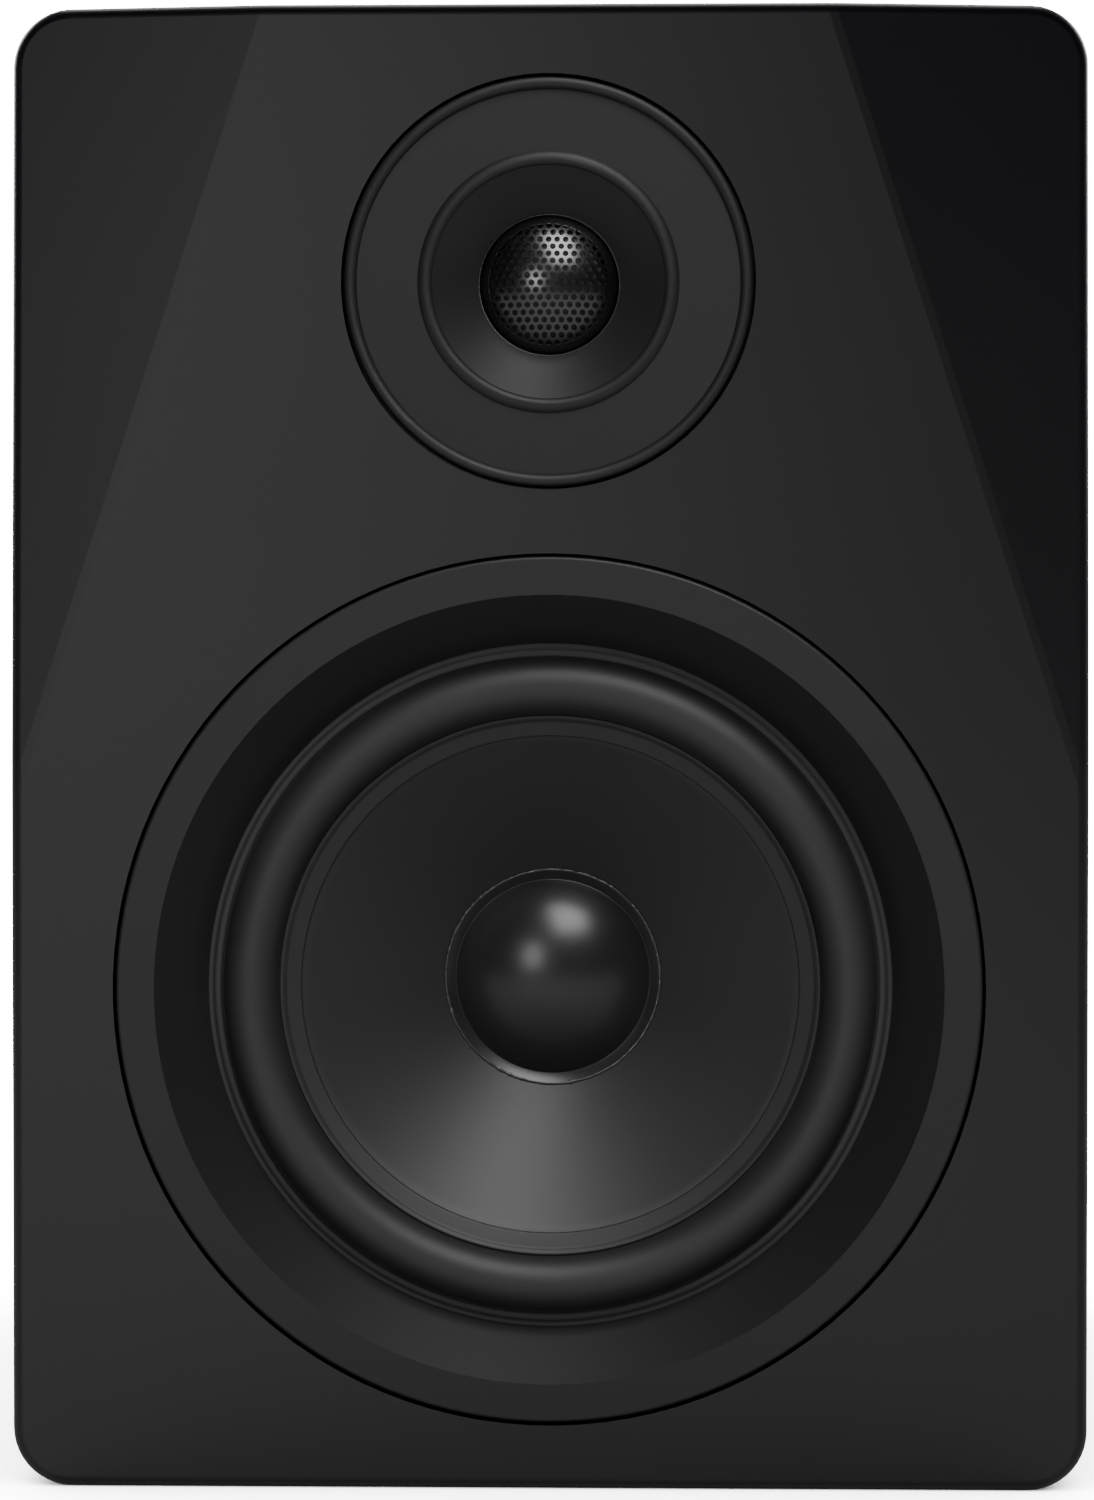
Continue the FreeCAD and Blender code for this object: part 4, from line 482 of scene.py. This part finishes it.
def addStudio():
    target = Vector((0, frontY, wooferAxis))
    for name, (way, reach, size, power) in studio["lamps"].items():
        data = bpy.data.lights.new(name, "AREA")
        data.shape = "RECTANGLE"
        data.size, data.size_y = size
        data.energy = power
        lamp = addObject(name, data)
        lamp.location = target + Vector(way).normalized() * reach
        aimAt(lamp, target)
    world = bpy.data.worlds.new("room")
    bpy.context.scene.world = world
    world.use_nodes = True
    shade = Field(world.node_tree)
    world.node_tree.nodes.clear()
    room, paper = [
        shade.make("ShaderNodeBackground", {}, {"Color": (1, 1, 1, 1), "Strength": studio[strength]})
        for strength in ("dimness", "white")
    ]
    seen = shade.make("ShaderNodeLightPath")
    mixed = shade.make("ShaderNodeMixShader", {}, {0: seen, 1: room, 2: paper})
    shade.make("ShaderNodeOutputWorld", {}, {"Surface": mixed})
    half = studio["floorSize"]
    mesh = bpy.data.meshes.new("floor")
    corners = [(-half, -half, 0), (half, -half, 0), (half, half, 0), (-half, half, 0)]
    mesh.from_pydata(corners, [], [(0, 1, 2, 3)])
    mesh.materials.append(paperMaterial())
    floor = addObject("floor", mesh)
    floor.visible_shadow = False  # the low lamp shines up through it


def paperMaterial():
    # Grey to the object, so that it isn't lit too much from below, and white to the camera. Near the object
    # the white glow is dimmed by ambient occlusion, which is a painted shadow.
    material, shade = newMaterial("studioPaper")
    rough = between(speckle(shade, objectSpace(shade), 12.0), 0.7, 0.85)
    matt = shade.make("ShaderNodeBsdfDiffuse", {}, {"Color": studio["paper"], "Roughness": rough})
    reach = {"Distance": studio["paintedShadowReach"]}
    # ambient occlusion dims the floor's glow round the object: a painted shadow
    paintedShadow = shade.make("ShaderNodeAmbientOcclusion", {"samples": 8}, reach, "AO")
    glow = shade.make("ShaderNodeEmission", {}, {"Strength": paintedShadow * paintedShadow * studio["white"]})
    seen = shade.make("ShaderNodeLightPath")
    mixed = shade.make("ShaderNodeMixShader", {}, {0: seen, 1: matt, 2: glow})
    shade.make("ShaderNodeOutputMaterial", {}, {"Surface": mixed})
    return material


addCamera()
addStudio()
print("camera, lamps and floor placed")


def arcThrough(start, middle, end, steps):
    # Points on the circle through three (radius, depth) points, from the first to the last.
    (ax, ay), (bx, by), (cx, cy) = start, middle, end
    a, b, c = (x * x + y * y for x, y in (start, middle, end))
    scale = 2 * (ax * (by - cy) + bx * (cy - ay) + cx * (ay - by))
    x = (a * (by - cy) + b * (cy - ay) + c * (ay - by)) / scale
    y = (a * (cx - bx) + b * (ax - cx) + c * (bx - ax)) / scale
    radius = math.hypot(ax - x, ay - y)
    first = math.atan2(ay - y, ax - x)
    halfway = (math.atan2(by - y, bx - x) - first) % math.tau
    sweep = (math.atan2(cy - y, cx - x) - first) % math.tau
    if halfway > sweep:
        sweep -= math.tau
    angles = [first + sweep * step / steps for step in range(steps + 1)]
    return [(x + radius * math.cos(angle), y + radius * math.sin(angle)) for angle in angles]


def softened(outline, reach, steps=4):
    # Rounds the corners of a closed outline. Points on an arc turn too little to be touched.
    soft = []
    points = [Vector(point) for point in outline]
    for number, corner in enumerate(points):
        back = points[number - 1] - corner
        forth = points[(number + 1) % len(points)] - corner
        if corner.x < 1e-7 or back.angle(-forth) < 0.45:
            soft.append(corner)
            continue
        cut = min(reach, back.length * 0.45, forth.length * 0.45)
        start, end = corner + back.normalized() * cut, corner + forth.normalized() * cut
        for step in range(steps + 1):
            share = step / steps
            soft.append(start.lerp(corner, share).lerp(corner.lerp(end, share), share))
    return [tuple(point) for point in soft]


def turnedMesh(name, outline, height, ways):
    # Turns a closed (radius, depth behind the face) outline about an axis square to the front.
    vertices, rings, faces = [], [], []
    for radius, depth in outline:
        first = len(vertices)
        count = 1 if radius < 1e-7 else ways
        rings.append([first + way % count for way in range(ways + 1)])
        for way in range(count):
            angle = math.tau * way / ways
            spot = (radius * math.cos(angle), frontY + depth, height + radius * math.sin(angle))
            vertices.append(spot)
    for here, there in zip(rings, rings[1:] + rings[:1]):
        for way in range(ways):
            corners = dict.fromkeys((here[way], here[way + 1], there[way + 1], there[way]))
            if len(corners) > 2:
                faces.append(tuple(corners))
    mesh = bpy.data.meshes.new(name)
    mesh.from_pydata(vertices, [], faces)
    return tidied(mesh)


def tidied(mesh, sharp=40):
    # Faces outwards, smooth but for the true edges.
    work = bmesh.new()
    work.from_mesh(mesh)
    bmesh.ops.remove_doubles(work, verts=work.verts, dist=1e-7)
    bmesh.ops.recalc_face_normals(work, faces=work.faces)
    for face in work.faces:
        face.smooth = True
    work.to_mesh(mesh)
    work.free()
    mesh.set_sharp_from_angle(angle=math.radians(sharp))
    return mesh


def addPiece(name, mesh, material, body="cabinet", replaced=()):
    piece = addObject(name, mesh)
    mesh.materials.clear()
    mesh.materials.append(material)
    if replaced:
        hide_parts(*replaced)
    if body:
        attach(piece, body)
    return piece


def bendInwards(piece, height, still, follows):
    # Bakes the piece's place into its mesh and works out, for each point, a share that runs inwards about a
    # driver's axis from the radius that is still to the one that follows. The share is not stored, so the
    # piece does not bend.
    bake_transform(piece)
    for vertex in piece.data.vertices:
        radius = math.hypot(vertex.co.x, vertex.co.z - height)
        share = min(max((still - radius) / (still - follows), 0), 1)
        share * share * (3 - 2 * share)


def newTree(name, inputs):
    tree = bpy.data.node_groups.new(name, "GeometryNodeTree")
    tree.interface.new_socket("Geometry", in_out="OUTPUT", socket_type="NodeSocketGeometry")
    for label, kind in inputs.items():
        tree.interface.new_socket(label, in_out="INPUT", socket_type="NodeSocket" + kind)
    flow = Field(tree)
    return tree, flow, flow.make("NodeGroupInput")


def closeTree(flow, geometry, material):
    real = flow.make("GeometryNodeRealizeInstances", {}, {"Geometry": geometry})
    painted = flow.make("GeometryNodeSetMaterial", {}, {"Geometry": real, "Material": material})
    flow.make("NodeGroupOutput", {}, {"Geometry": painted})


def grownMesh(name, tree, values, wall=0):
    # Runs a tree with its named inputs, gives the sheet a wall if asked, and keeps a plain mesh.
    grower = addObject(name + "Grower", bpy.data.meshes.new(name))
    modifier = grower.modifiers.new("tree", "NODES")
    modifier.node_group = tree
    for item in tree.interface.items_tree:
        if item.in_out == "INPUT":
            modifier[item.identifier] = values[item.name]
    if wall:
        solid = grower.modifiers.new("wall", "SOLIDIFY")
        solid.thickness = wall
        solid.offset = -1
    bpy.context.view_layer.update()
    shown = grower.evaluated_get(bpy.context.evaluated_depsgraph_get())
    mesh = bpy.data.meshes.new_from_object(shown)
    bpy.data.objects.remove(grower)
    mesh.name = name
    return mesh


wooferWays = 200  # faces round each turned piece of the woofer
surround = {
    "rollOuter": 56.3 * mm,
    "rollInner": 46.75 * mm,
    "footOuter": 60.5 * mm,
    "footInner": 42.9 * mm,
    "footDepth": 10.7 * mm,
    "wall": 0.8 * mm,
    "coneFall": 1.4 * mm,  # of the inner foot along the cone
    # The raised line on each foot: how far out from the edge of the roll, and how deep behind the foot.
    "innerLip": [(-1.3 * mm, 0.42 * mm), (-0.9 * mm, -0.05 * mm), (-0.35 * mm, -0.35 * mm)],
    "outerLip": [(0.5 * mm, -0.35 * mm), (1.3 * mm, -0.35 * mm), (1.9 * mm, 0)],
    "free": 0.5 * mm,  # from the inner edge of the roll, where it starts to follow the cone
    "corner": 0.3 * mm,
}


def buildSurround():
    look = surround
    wall, depth = look["wall"], look["footDepth"]
    outer, inner = look["rollOuter"], look["rollInner"]
    middle = (outer + inner) / 2
    crown = depth - (outer - inner) / 2
    back = depth + wall
    innerDepth = depth + look["coneFall"]
    top = arcThrough((inner, depth), (middle, crown), (outer, depth), 40)
    under = arcThrough((outer - wall, depth), (middle, crown + wall), (inner + wall, depth), 32)
    outline = [(look["footInner"], innerDepth + wall), (look["footInner"], innerDepth)]
    outline += [(inner + out, depth + down) for out, down in look["innerLip"]] + top
    outline += [(outer + out, depth + down) for out, down in look["outerLip"]]
    outline += [(look["footOuter"], depth), (look["footOuter"], back)]
    outline += [(outer - wall, back)] + under + [(inner + wall, back)]
    outline = softened(outline, look["corner"])
    mesh = turnedMesh("woofer_surround_rubber", outline, wooferAxis, wooferWays)
    piece = addPiece(mesh.name, mesh, mouldedMaterial("rubber"), None, ["woofer_surround"])
    bendInwards(piece, wooferAxis, outer, inner + look["free"])


cone = {
    "rim": 47.55 * mm,
    "rimDepth": 11.5 * mm,
    "edge": 42.9 * mm,
    "edgeDepth": 12.9 * mm,
    "neck": 13.05 * mm,
    "neckDepth": 35.5 * mm,
    "neckEnd": 38 * mm,
    "wall": 0.8 * mm,
    "corner": 0.25 * mm,
}


def coneDepth(radius):
    share = (cone["edge"] - radius) / (cone["edge"] - cone["neck"])
    return cone["edgeDepth"] + (cone["neckDepth"] - cone["edgeDepth"]) * share


def buildCone():
    look = cone
    wall, edge, neck = look["wall"], look["edge"], look["neck"]
    radii = [edge + (neck - edge) * step / 24 for step in range(25)]
    front = [(radius, coneDepth(radius)) for radius in radii]
    behind = [(radius, coneDepth(radius) + wall) for radius in radii[:-1] if radius > neck + wall * 2]
    outline = [(look["rim"], look["rimDepth"])] + front
    outline += [(neck, look["neckEnd"]), (neck + wall, look["neckEnd"])]
    outline += [(neck + wall, coneDepth(neck + wall) + wall)]
    outline += behind[::-1] + [(look["rim"], look["rimDepth"] + wall)]
    outline = softened(outline, look["corner"])
    mesh = turnedMesh("woofer_cone_body", outline, wooferAxis, wooferWays)
    addPiece(mesh.name, mesh, mouldedMaterial("cone"), "woofer_diaphragm", ["woofer_cone"])


cap = {
    "dome": 17.2 * mm,
    "flange": 18.84 * mm,
    "rise": 7.0 * mm,
    "wall": 0.5 * mm,
    "corner": 0.12 * mm,
}
glueLines = [
    {"radius": 17.3 * mm, "thick": 0.15 * mm, "uneven": 0.05 * mm, "seed": 3.0},
    {"radius": 18.95 * mm, "thick": 0.21 * mm, "uneven": 0.11 * mm, "seed": 11.0},
]
glueShape = {
    "ways": 420,
    "sides": 8,
    "swayRate": 6,
    "swellRate": 26,
    "swell": 1.1,
    "least": 0.35,  # of the thickness
    "flatness": 0.5,
    "sunk": 0.6,  # of the cap's wall
}


def buildCap():
    look = cap
    wall, inner, outer = look["wall"], look["dome"], look["flange"]
    base = coneDepth(inner) - wall
    crown = base - look["rise"]
    ball = (inner * inner + look["rise"] ** 2) / (look["rise"] * 2)
    half = (inner * 0.5, crown + ball - math.sqrt(ball * ball - inner * inner / 4))
    front = arcThrough((0, crown), half, (inner, base), 36)
    behind = [(max(radius - wall, 0), depth + wall) for radius, depth in front[::-1] if radius > wall]
    outline = front + [(outer, coneDepth(outer) - wall), (outer, coneDepth(outer))]
    outline += [(inner - wall, coneDepth(inner - wall))] + behind + [(0, crown + wall)]
    mesh = turnedMesh("dust_cap_shell", softened(outline, look["corner"]), wooferAxis, wooferWays)
    addPiece(mesh.name, mesh, mouldedMaterial("cap"), "woofer_diaphragm", ["dust_cap"])
    glue = mouldedMaterial("glue")
    for number, line in enumerate(glueLines, 1):
        mesh = glueMesh(f"cap_glue_{number}", **line)
        addPiece(mesh.name, mesh, glue, "woofer_diaphragm")


def glueMesh(name, radius, thick, uneven, seed):
    # An uneven line of glue that lies on the cone round the cap.
    look = glueShape
    ways, sides = look["ways"], look["sides"]
    vertices, faces = [], []
    for way in range(ways):
        angle = math.tau * way / ways
        spot = Vector((math.cos(angle), math.sin(angle), 0))
        sway = noise.noise(spot * look["swayRate"] + Vector((0, 0, seed))) * uneven
        swell = 1 + look["swell"] * noise.noise(spot * look["swellRate"] + Vector((0, 0, seed + 5)))
        size = thick * max(swell, look["least"])
        base = coneDepth(radius + sway) - cap["wall"] * look["sunk"]
        for side in range(sides):
            turn = math.tau * side / sides
            out = radius + sway + size * math.cos(turn)
            depth = base - size * look["flatness"] * math.sin(turn)
            vertices.append((out * spot.x, frontY + depth, wooferAxis + out * spot.y))
            here, there = way * sides, (way + 1) % ways * sides
            after = (side + 1) % sides
            faces.append((here + side, here + after, there + after, there + side))
    mesh = bpy.data.meshes.new(name)
    mesh.from_pydata(vertices, [], faces)
    return tidied(mesh)


guard = {
    "pitch": 1.43 * mm,
    "hole": 0.50 * mm,
    "sheet": 0.35 * mm,
    "radius": 11.9 * mm,
    "rise": 5.5 * mm,
    "seat": 7.0 * mm,
    "flange": 14.0 * mm,
    "plainEdge": 0.56 * mm,
    "margin": 0.45,  # of a pitch, between the outermost cells' middles and the plain edge
    "overlap": 0.75,  # of a pitch, that the plain edge goes in under the cells
    "drop": 0.06 * mm,  # of the plain edge under the cells
    "corner": 0.08 * mm,
    "ways": 96,
}


def guardTree(material):
    # A hexagonal field of cells, each a ring between a round hole and its hexagon, laid on a ball.
    lengths = ("Pitch", "Hole", "Reach", "Ball", "Crown", "Height")
    inputs = {**{name: "Float" for name in lengths}, "Rows": "Int"}
    tree, flow, given = newTree("perforatedGuard", inputs)
    pitch = given.also("Pitch")
    rowPitch = pitch * math.sqrt(0.75)
    count = given.also("Rows")
    grid = flow.make("GeometryNodeMeshGrid", {}, {
        "Size X": (count - 1) * pitch, "Size Y": (count - 1) * rowPitch,
        "Vertices X": count, "Vertices Y": count,
    })
    place = flow.make("GeometryNodeInputPosition")
    apart = flow.make("ShaderNodeSeparateXYZ", {}, {0: place})
    row = flow.sum("ROUND", apart.also("Y") / rowPitch)
    shift = flow.sum("FLOORED_MODULO", row, 2.0) * pitch / 2
    offset = flow.make("ShaderNodeCombineXYZ", {}, {"X": shift})
    field = flow.make("GeometryNodeSetPosition", {}, {"Geometry": grid, "Offset": offset})
    away = flow.make("ShaderNodeVectorMath", {"operation": "LENGTH"}, {0: place}, "Value")
    circle = flow.make("GeometryNodeMeshCircle", {}, {"Vertices": 12, "Radius": given.also("Hole")})
    sleeve = flow.make(
        "GeometryNodeExtrudeMesh", {"mode": "EDGES"},
        {"Mesh": circle, "Offset": (0, 0, 1), "Offset Scale": 0.0},
    )
    angle = flow.sum("ARCTAN2", apart.also("Y"), apart) + math.pi / 6
    corner = flow.sum("COSINE", flow.sum("FLOORED_MODULO", angle, math.pi / 3) - math.pi / 6)
    stretch = pitch / 2 / corner / away
    outline = flow.make("ShaderNodeVectorMath", {"operation": "SCALE"}, {0: place, "Scale": stretch})
    cell = flow.make(
        "GeometryNodeSetPosition", {},
        {"Geometry": sleeve, "Selection": sleeve.also("Top"), "Position": outline},
    )
    cells = flow.make(
        "GeometryNodeInstanceOnPoints", {},
        {"Points": field, "Selection": away < given.also("Reach"), "Instance": cell},
    )
    real = flow.make("GeometryNodeRealizeInstances", {}, {"Geometry": cells})
    joined = flow.make("GeometryNodeMergeByDistance", {}, {"Geometry": real, "Distance": 0.02 * mm})
    ball = given.also("Ball")
    fall = ball - flow.sum("SQRT", ball * ball - away * away)
    domed = flow.make("ShaderNodeCombineXYZ", {}, {
        "X": apart, "Y": given.also("Crown") + fall, "Z": apart.also("Y") + given.also("Height"),
    })
    bent = flow.make("GeometryNodeSetPosition", {}, {"Geometry": joined, "Position": domed})
    closeTree(flow, bent, material)
    return tree


def buildGuard():
    look = guard
    radius, rise, seat, sheet = look["radius"], look["rise"], look["seat"], look["sheet"]
    ball = (radius * radius + rise * rise) / (rise * 2)
    material = metalMaterial("guard")
    pitch, drop = look["pitch"], look["drop"]
    reach = radius - look["plainEdge"]
    rows = int(reach * 2 / (pitch * math.sqrt(0.75))) // 2 * 2 + 3  # odd, so that one hole is in the middle
    values = {
        "Pitch": pitch, "Hole": look["hole"], "Reach": reach - pitch * look["margin"], "Ball": ball,
        "Crown": frontY + seat - rise, "Height": tweeterAxis, "Rows": rows,
    }
    mesh = grownMesh("tweeter_guard_mesh", guardTree(material), values, sheet)
    addPiece("tweeter_guard_mesh", tidied(mesh, 60), material, "cabinet", ["tweeter_grille"])

    def depthAt(out):
        return seat - rise + ball - math.sqrt(ball * ball - out * out)

    start = reach - pitch * look["overlap"]
    radii = [start + (radius - start) * step / 6 for step in range(7)]
    outline = [(out, depthAt(out) + drop) for out in radii]
    outline += [(look["flange"], seat + drop), (look["flange"], seat + sheet)]
    outline += [(radius - sheet / 2, seat + sheet)] + [(out, depthAt(out) + sheet) for out in radii[-2::-1]]
    mesh = turnedMesh("tweeter_guard_rim", softened(outline, look["corner"]), tweeterAxis, look["ways"])
    addPiece(mesh.name, mesh, material)


softParts = {  # radii between which each part's share is worked out
    "spiderInner": 15.05 * mm,
    "spiderFree": 31.5 * mm,
    "domeRadius": 12.5 * mm,
    "edgeOuter": 15.0 * mm,
    "leadStart": 31.0 * mm,
    "leadEnd": 14.5 * mm,
}


def copyOf(node, name, material):
    # A merged copy of a CAD node's mesh, for a piece that has to bend.
    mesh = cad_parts[node].data.copy()
    mesh.name = name
    return addPiece(name, tidied(mesh, 50), material, None, [node])


def buildSoftParts():
    look = softParts
    cloth = copyOf("spider", "spider_cloth", clothMaterial("spiderCloth"))
    bendInwards(cloth, wooferAxis, look["spiderFree"], look["spiderInner"])
    leads = copyOf("tinsel_leads", "tinsel_braid", metalMaterial("tin"))
    bendInwards(leads, wooferAxis, look["leadStart"], look["leadEnd"])
    silk = copyOf("tweeter_edge_roll", "tweeter_edge_silk", clothMaterial("domeSilk"))
    bendInwards(silk, tweeterAxis, look["edgeOuter"], look["domeRadius"])


coils = {
    "woofer_inductor": {"wire": 1.0 * mm, "bore": 9 * mm, "radius": 19 * mm, "height": 18 * mm, "axis": "Z"},
    "tweeter_inductor": {"wire": 0.7 * mm, "bore": 5 * mm, "radius": 10 * mm, "height": 12 * mm, "axis": "X"},
}


def coilTree(material):
    # A drum of wire: turns up its side, a flat spiral on each end, and the mass of turns within.
    lengths = ("Wire", "Bore", "Radius", "Height", "Turns", "End turns")
    tree, flow, given = newTree("woundCoil", {name: "Float" for name in lengths})
    wire, bore, radius, height = given, given.also("Bore"), given.also("Radius"), given.also("Height")
    section = flow.make("GeometryNodeCurvePrimitiveCircle", {}, {"Resolution": 8, "Radius": wire / 2})
    endStart, endStop = bore + wire / 2, radius - wire * 0.6
    side = flow.make("GeometryNodeCurveSpiral", {}, {
        "Resolution": 48, "Rotations": given.also("Turns"), "Start Radius": radius - wire / 2,
        "End Radius": radius - wire / 2, "Height": height - wire * 1.1,
    })
    end = flow.make("GeometryNodeCurveSpiral", {}, {
        "Resolution": 48, "Rotations": given.also("End turns"), "Start Radius": endStart,
        "End Radius": endStop, "Height": 0.0,
    })
    lifts = []
    for lift in (wire * 0.5, height - wire * 0.5):
        offset = flow.make("ShaderNodeCombineXYZ", {}, {"Z": lift})
        lifts.append(flow.make("GeometryNodeTransform", {}, {"Geometry": end, "Translation": offset}))
    up = flow.make("ShaderNodeCombineXYZ", {}, {"Z": wire * 0.55})
    lifts.append(flow.make("GeometryNodeTransform", {}, {"Geometry": side, "Translation": up}))
    turns = flow.make("GeometryNodeJoinGeometry", {}, {"Geometry": lifts})
    sweep = {"Curve": turns, "Profile Curve": section, "Fill Caps": True}
    rope = flow.make("GeometryNodeCurveToMesh", {}, sweep)
    hoop = {"Resolution": 64, "Radius": (bore + radius) / 2}
    ring = flow.make("GeometryNodeCurvePrimitiveCircle", {}, hoop)
    block = flow.make(
        "GeometryNodeCurvePrimitiveQuadrilateral", {},
        {"Width": radius - bore - wire, "Height": height - wire},
    )
    core = flow.make("GeometryNodeCurveToMesh", {}, {"Curve": ring, "Profile Curve": block})
    half = flow.make("ShaderNodeCombineXYZ", {}, {"Z": height / 2})
    core = flow.make("GeometryNodeTransform", {}, {"Geometry": core, "Translation": half})
    closeTree(flow, flow.make("GeometryNodeJoinGeometry", {}, {"Geometry": [rope, core]}), material)
    return tree


def buildCoils():
    material = wireMaterial("enamelledWire")
    tree = coilTree(material)
    for node, look in coils.items():
        wire, depth = look["wire"], look["radius"] - look["bore"]
        values = {name.capitalize(): look[name] for name in ("wire", "bore", "radius", "height")}
        values["Turns"] = look["height"] / wire - 1
        values["End turns"] = depth / wire - 1
        mesh = grownMesh(node + "_winding", tree, values)
        low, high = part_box(node)
        turn = Matrix.Identity(4)
        if look["axis"] == "X":
            turn = Matrix.Rotation(math.pi / 2, 4, "Y")
        mesh.transform(turn)
        reach = [max(vertex.co[way] for vertex in mesh.vertices) for way in range(3)]
        start = [min(vertex.co[way] for vertex in mesh.vertices) for way in range(3)]
        found = (Vector(reach) + Vector(start)) / 2
        mesh.transform(Matrix.Translation((low + high) / 2 - found))
        addPiece(mesh.name, tidied(mesh), material, "cabinet", [node])


wadding = {
    "thickness": 12 * mm,
    "sideTop": 216 * mm,
    "topWidth": 110 * mm,
    "lump": 1.3 * mm,
    "fineLump": 0.52 * mm,
    "leastDip": 0.2 * mm,
    "cells": (44, 36),
    "fill": 0.7,
}


def padMesh(name, low, high, thin, seed):
    # A sheet of wadding: two lumpy faces that close on each other at the edges.
    wide, tall = [way for way in range(3) if way != thin]
    columns, rows = wadding["cells"]
    middle = (Vector(low) + Vector(high)) / 2
    half = (Vector(high) - Vector(low)) / 2
    vertices, faces, spots = [], [], {}

    def cornerAt(side, column, row):
        # Numbers a corner, and makes it when it is first asked for. Both faces share the edge's corners.
        u, v = column / columns * 2 - 1, row / rows * 2 - 1
        key = (0 if 1 in (abs(u), abs(v)) else side, column, row)
        if key not in spots:
            swell = ((1 - abs(u) ** 10) * (1 - abs(v) ** 10)) ** 0.4
            lump = noise.noise(Vector((u * 5, v * 5, seed + side))) * wadding["lump"]
            lump += noise.noise(Vector((u * 16, v * 16, seed + side * 3))) * wadding["fineLump"]
            dip = abs(lump) + wadding["leastDip"]
            place = middle.copy()
            place[wide] += u * half[wide]
            place[tall] += v * half[tall]
            place[thin] += side * max(half[thin] - dip, 0) * swell
            spots[key] = len(vertices)
            vertices.append(place)
        return spots[key]

    for side in (-1, 1):
        for column in range(columns):
            for row in range(rows):
                ring = ((0, 0), (1, 0), (1, 1), (0, 1))
                faces.append([cornerAt(side, column + across, row + up) for across, up in ring])
    mesh = bpy.data.meshes.new(name)
    mesh.from_pydata(vertices, [], faces)
    return tidied(mesh, 80)


def buildWadding():
    low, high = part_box("damping_wadding")
    thick, halfTop = wadding["thickness"], wadding["topWidth"] / 2
    sideTop = wadding["sideTop"]
    material = fluffMaterial("fluff")
    pads = {
        "wadding_left": ((low.x, low.y, low.z), (low.x + thick, high.y, sideTop), 0),
        "wadding_right": ((high.x - thick, low.y, low.z), (high.x, high.y, sideTop), 0),
        "wadding_top": ((-halfTop, low.y, high.z - thick), (halfTop, high.y, high.z), 2),
    }
    for seed, (name, (start, end, thin)) in enumerate(pads.items()):
        mesh = padMesh(name, start, end, thin, seed * 7.0)
        replaced = ["damping_wadding"] if seed == 0 else []  # one piece stands for the node
        pad = addPiece(name, mesh, material, "cabinet", replaced)


nodeFinishes = {
    "lacquer": ["front_baffle"],
    "trim": ["woofer_trim_ring"],
    "faceplate": ["tweeter_faceplate"],
    "rubber": ["woofer_gasket", "tweeter_gasket", "terminal_cup_gasket"],
    "port": ["port_flare", "port_tube", "terminal_cup"],
    "redKnob": ["red_post_cap", "red_post_collar"],
    "blackKnob": ["black_post_cap", "black_post_collar"],
    "basketPaint": ["woofer_basket"],
    "filmWrap": ["film_capacitors"],
    "canSleeve": ["electrolytic_capacitor"],
    "ceramic": ["crossover_resistors"],
    "blackSleeve": ["woofer_wires", "input_wires"],
    "redSleeve": ["tweeter_wires"],
    "ferrite": ["woofer_magnet", "tweeter_magnet"],
}
metalNodes = {
    "zinc": [
        "woofer_screws", "tweeter_screws", "crossover_screws", "post_nuts",
        "woofer_top_plate", "woofer_yoke", "tweeter_top_plate", "tweeter_yoke",
    ],
    "blackZinc": ["terminal_cup_screws"],
    "gold": ["post_studs", "red_post_washer", "black_post_washer"],
    "tin": ["woofer_lugs", "post_solder_lugs"],
    "foil": ["voice_coil_former"],
}
otherNodes = {
    wrapMaterial: ["top_panel", "bottom_panel", "left_panel", "right_panel", "rear_panel"],
    wireMaterial: ["voice_coil_winding", "tweeter_voice_coil"],
    boardMaterial: [
        "woofer_terminal_strip", "tweeter_ring", "tweeter_terminals", "crossover_board", "crossover_spacers",
    ],
}


def paint(nodes, material):
    for node in nodes:
        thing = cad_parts[node]
        thing.data.materials.clear()
        thing.data.materials.append(material)


def paintNodes():
    for name, nodes in nodeFinishes.items():
        paint(nodes, mouldedMaterial(name))
    for name, nodes in metalNodes.items():
        paint(nodes, metalMaterial(name))
    for maker, nodes in otherNodes.items():
        paint(nodes, maker(maker.__name__))
    paint(["tweeter_dome"], clothMaterial("domeSilk"))


paintNodes()
print("finishes on the CAD nodes")
buildSurround()
buildCone()
buildCap()
print("woofer's moving parts made")
buildGuard()
buildSoftParts()
print("tweeter's guard and the flexing parts made")
buildCoils()
buildWadding()
for lampName, shadedNames in studio["flagged"].items():
    flagOff(bpy.data.objects[lampName], shadedNames)
print("coils and wadding made, lamps flagged")
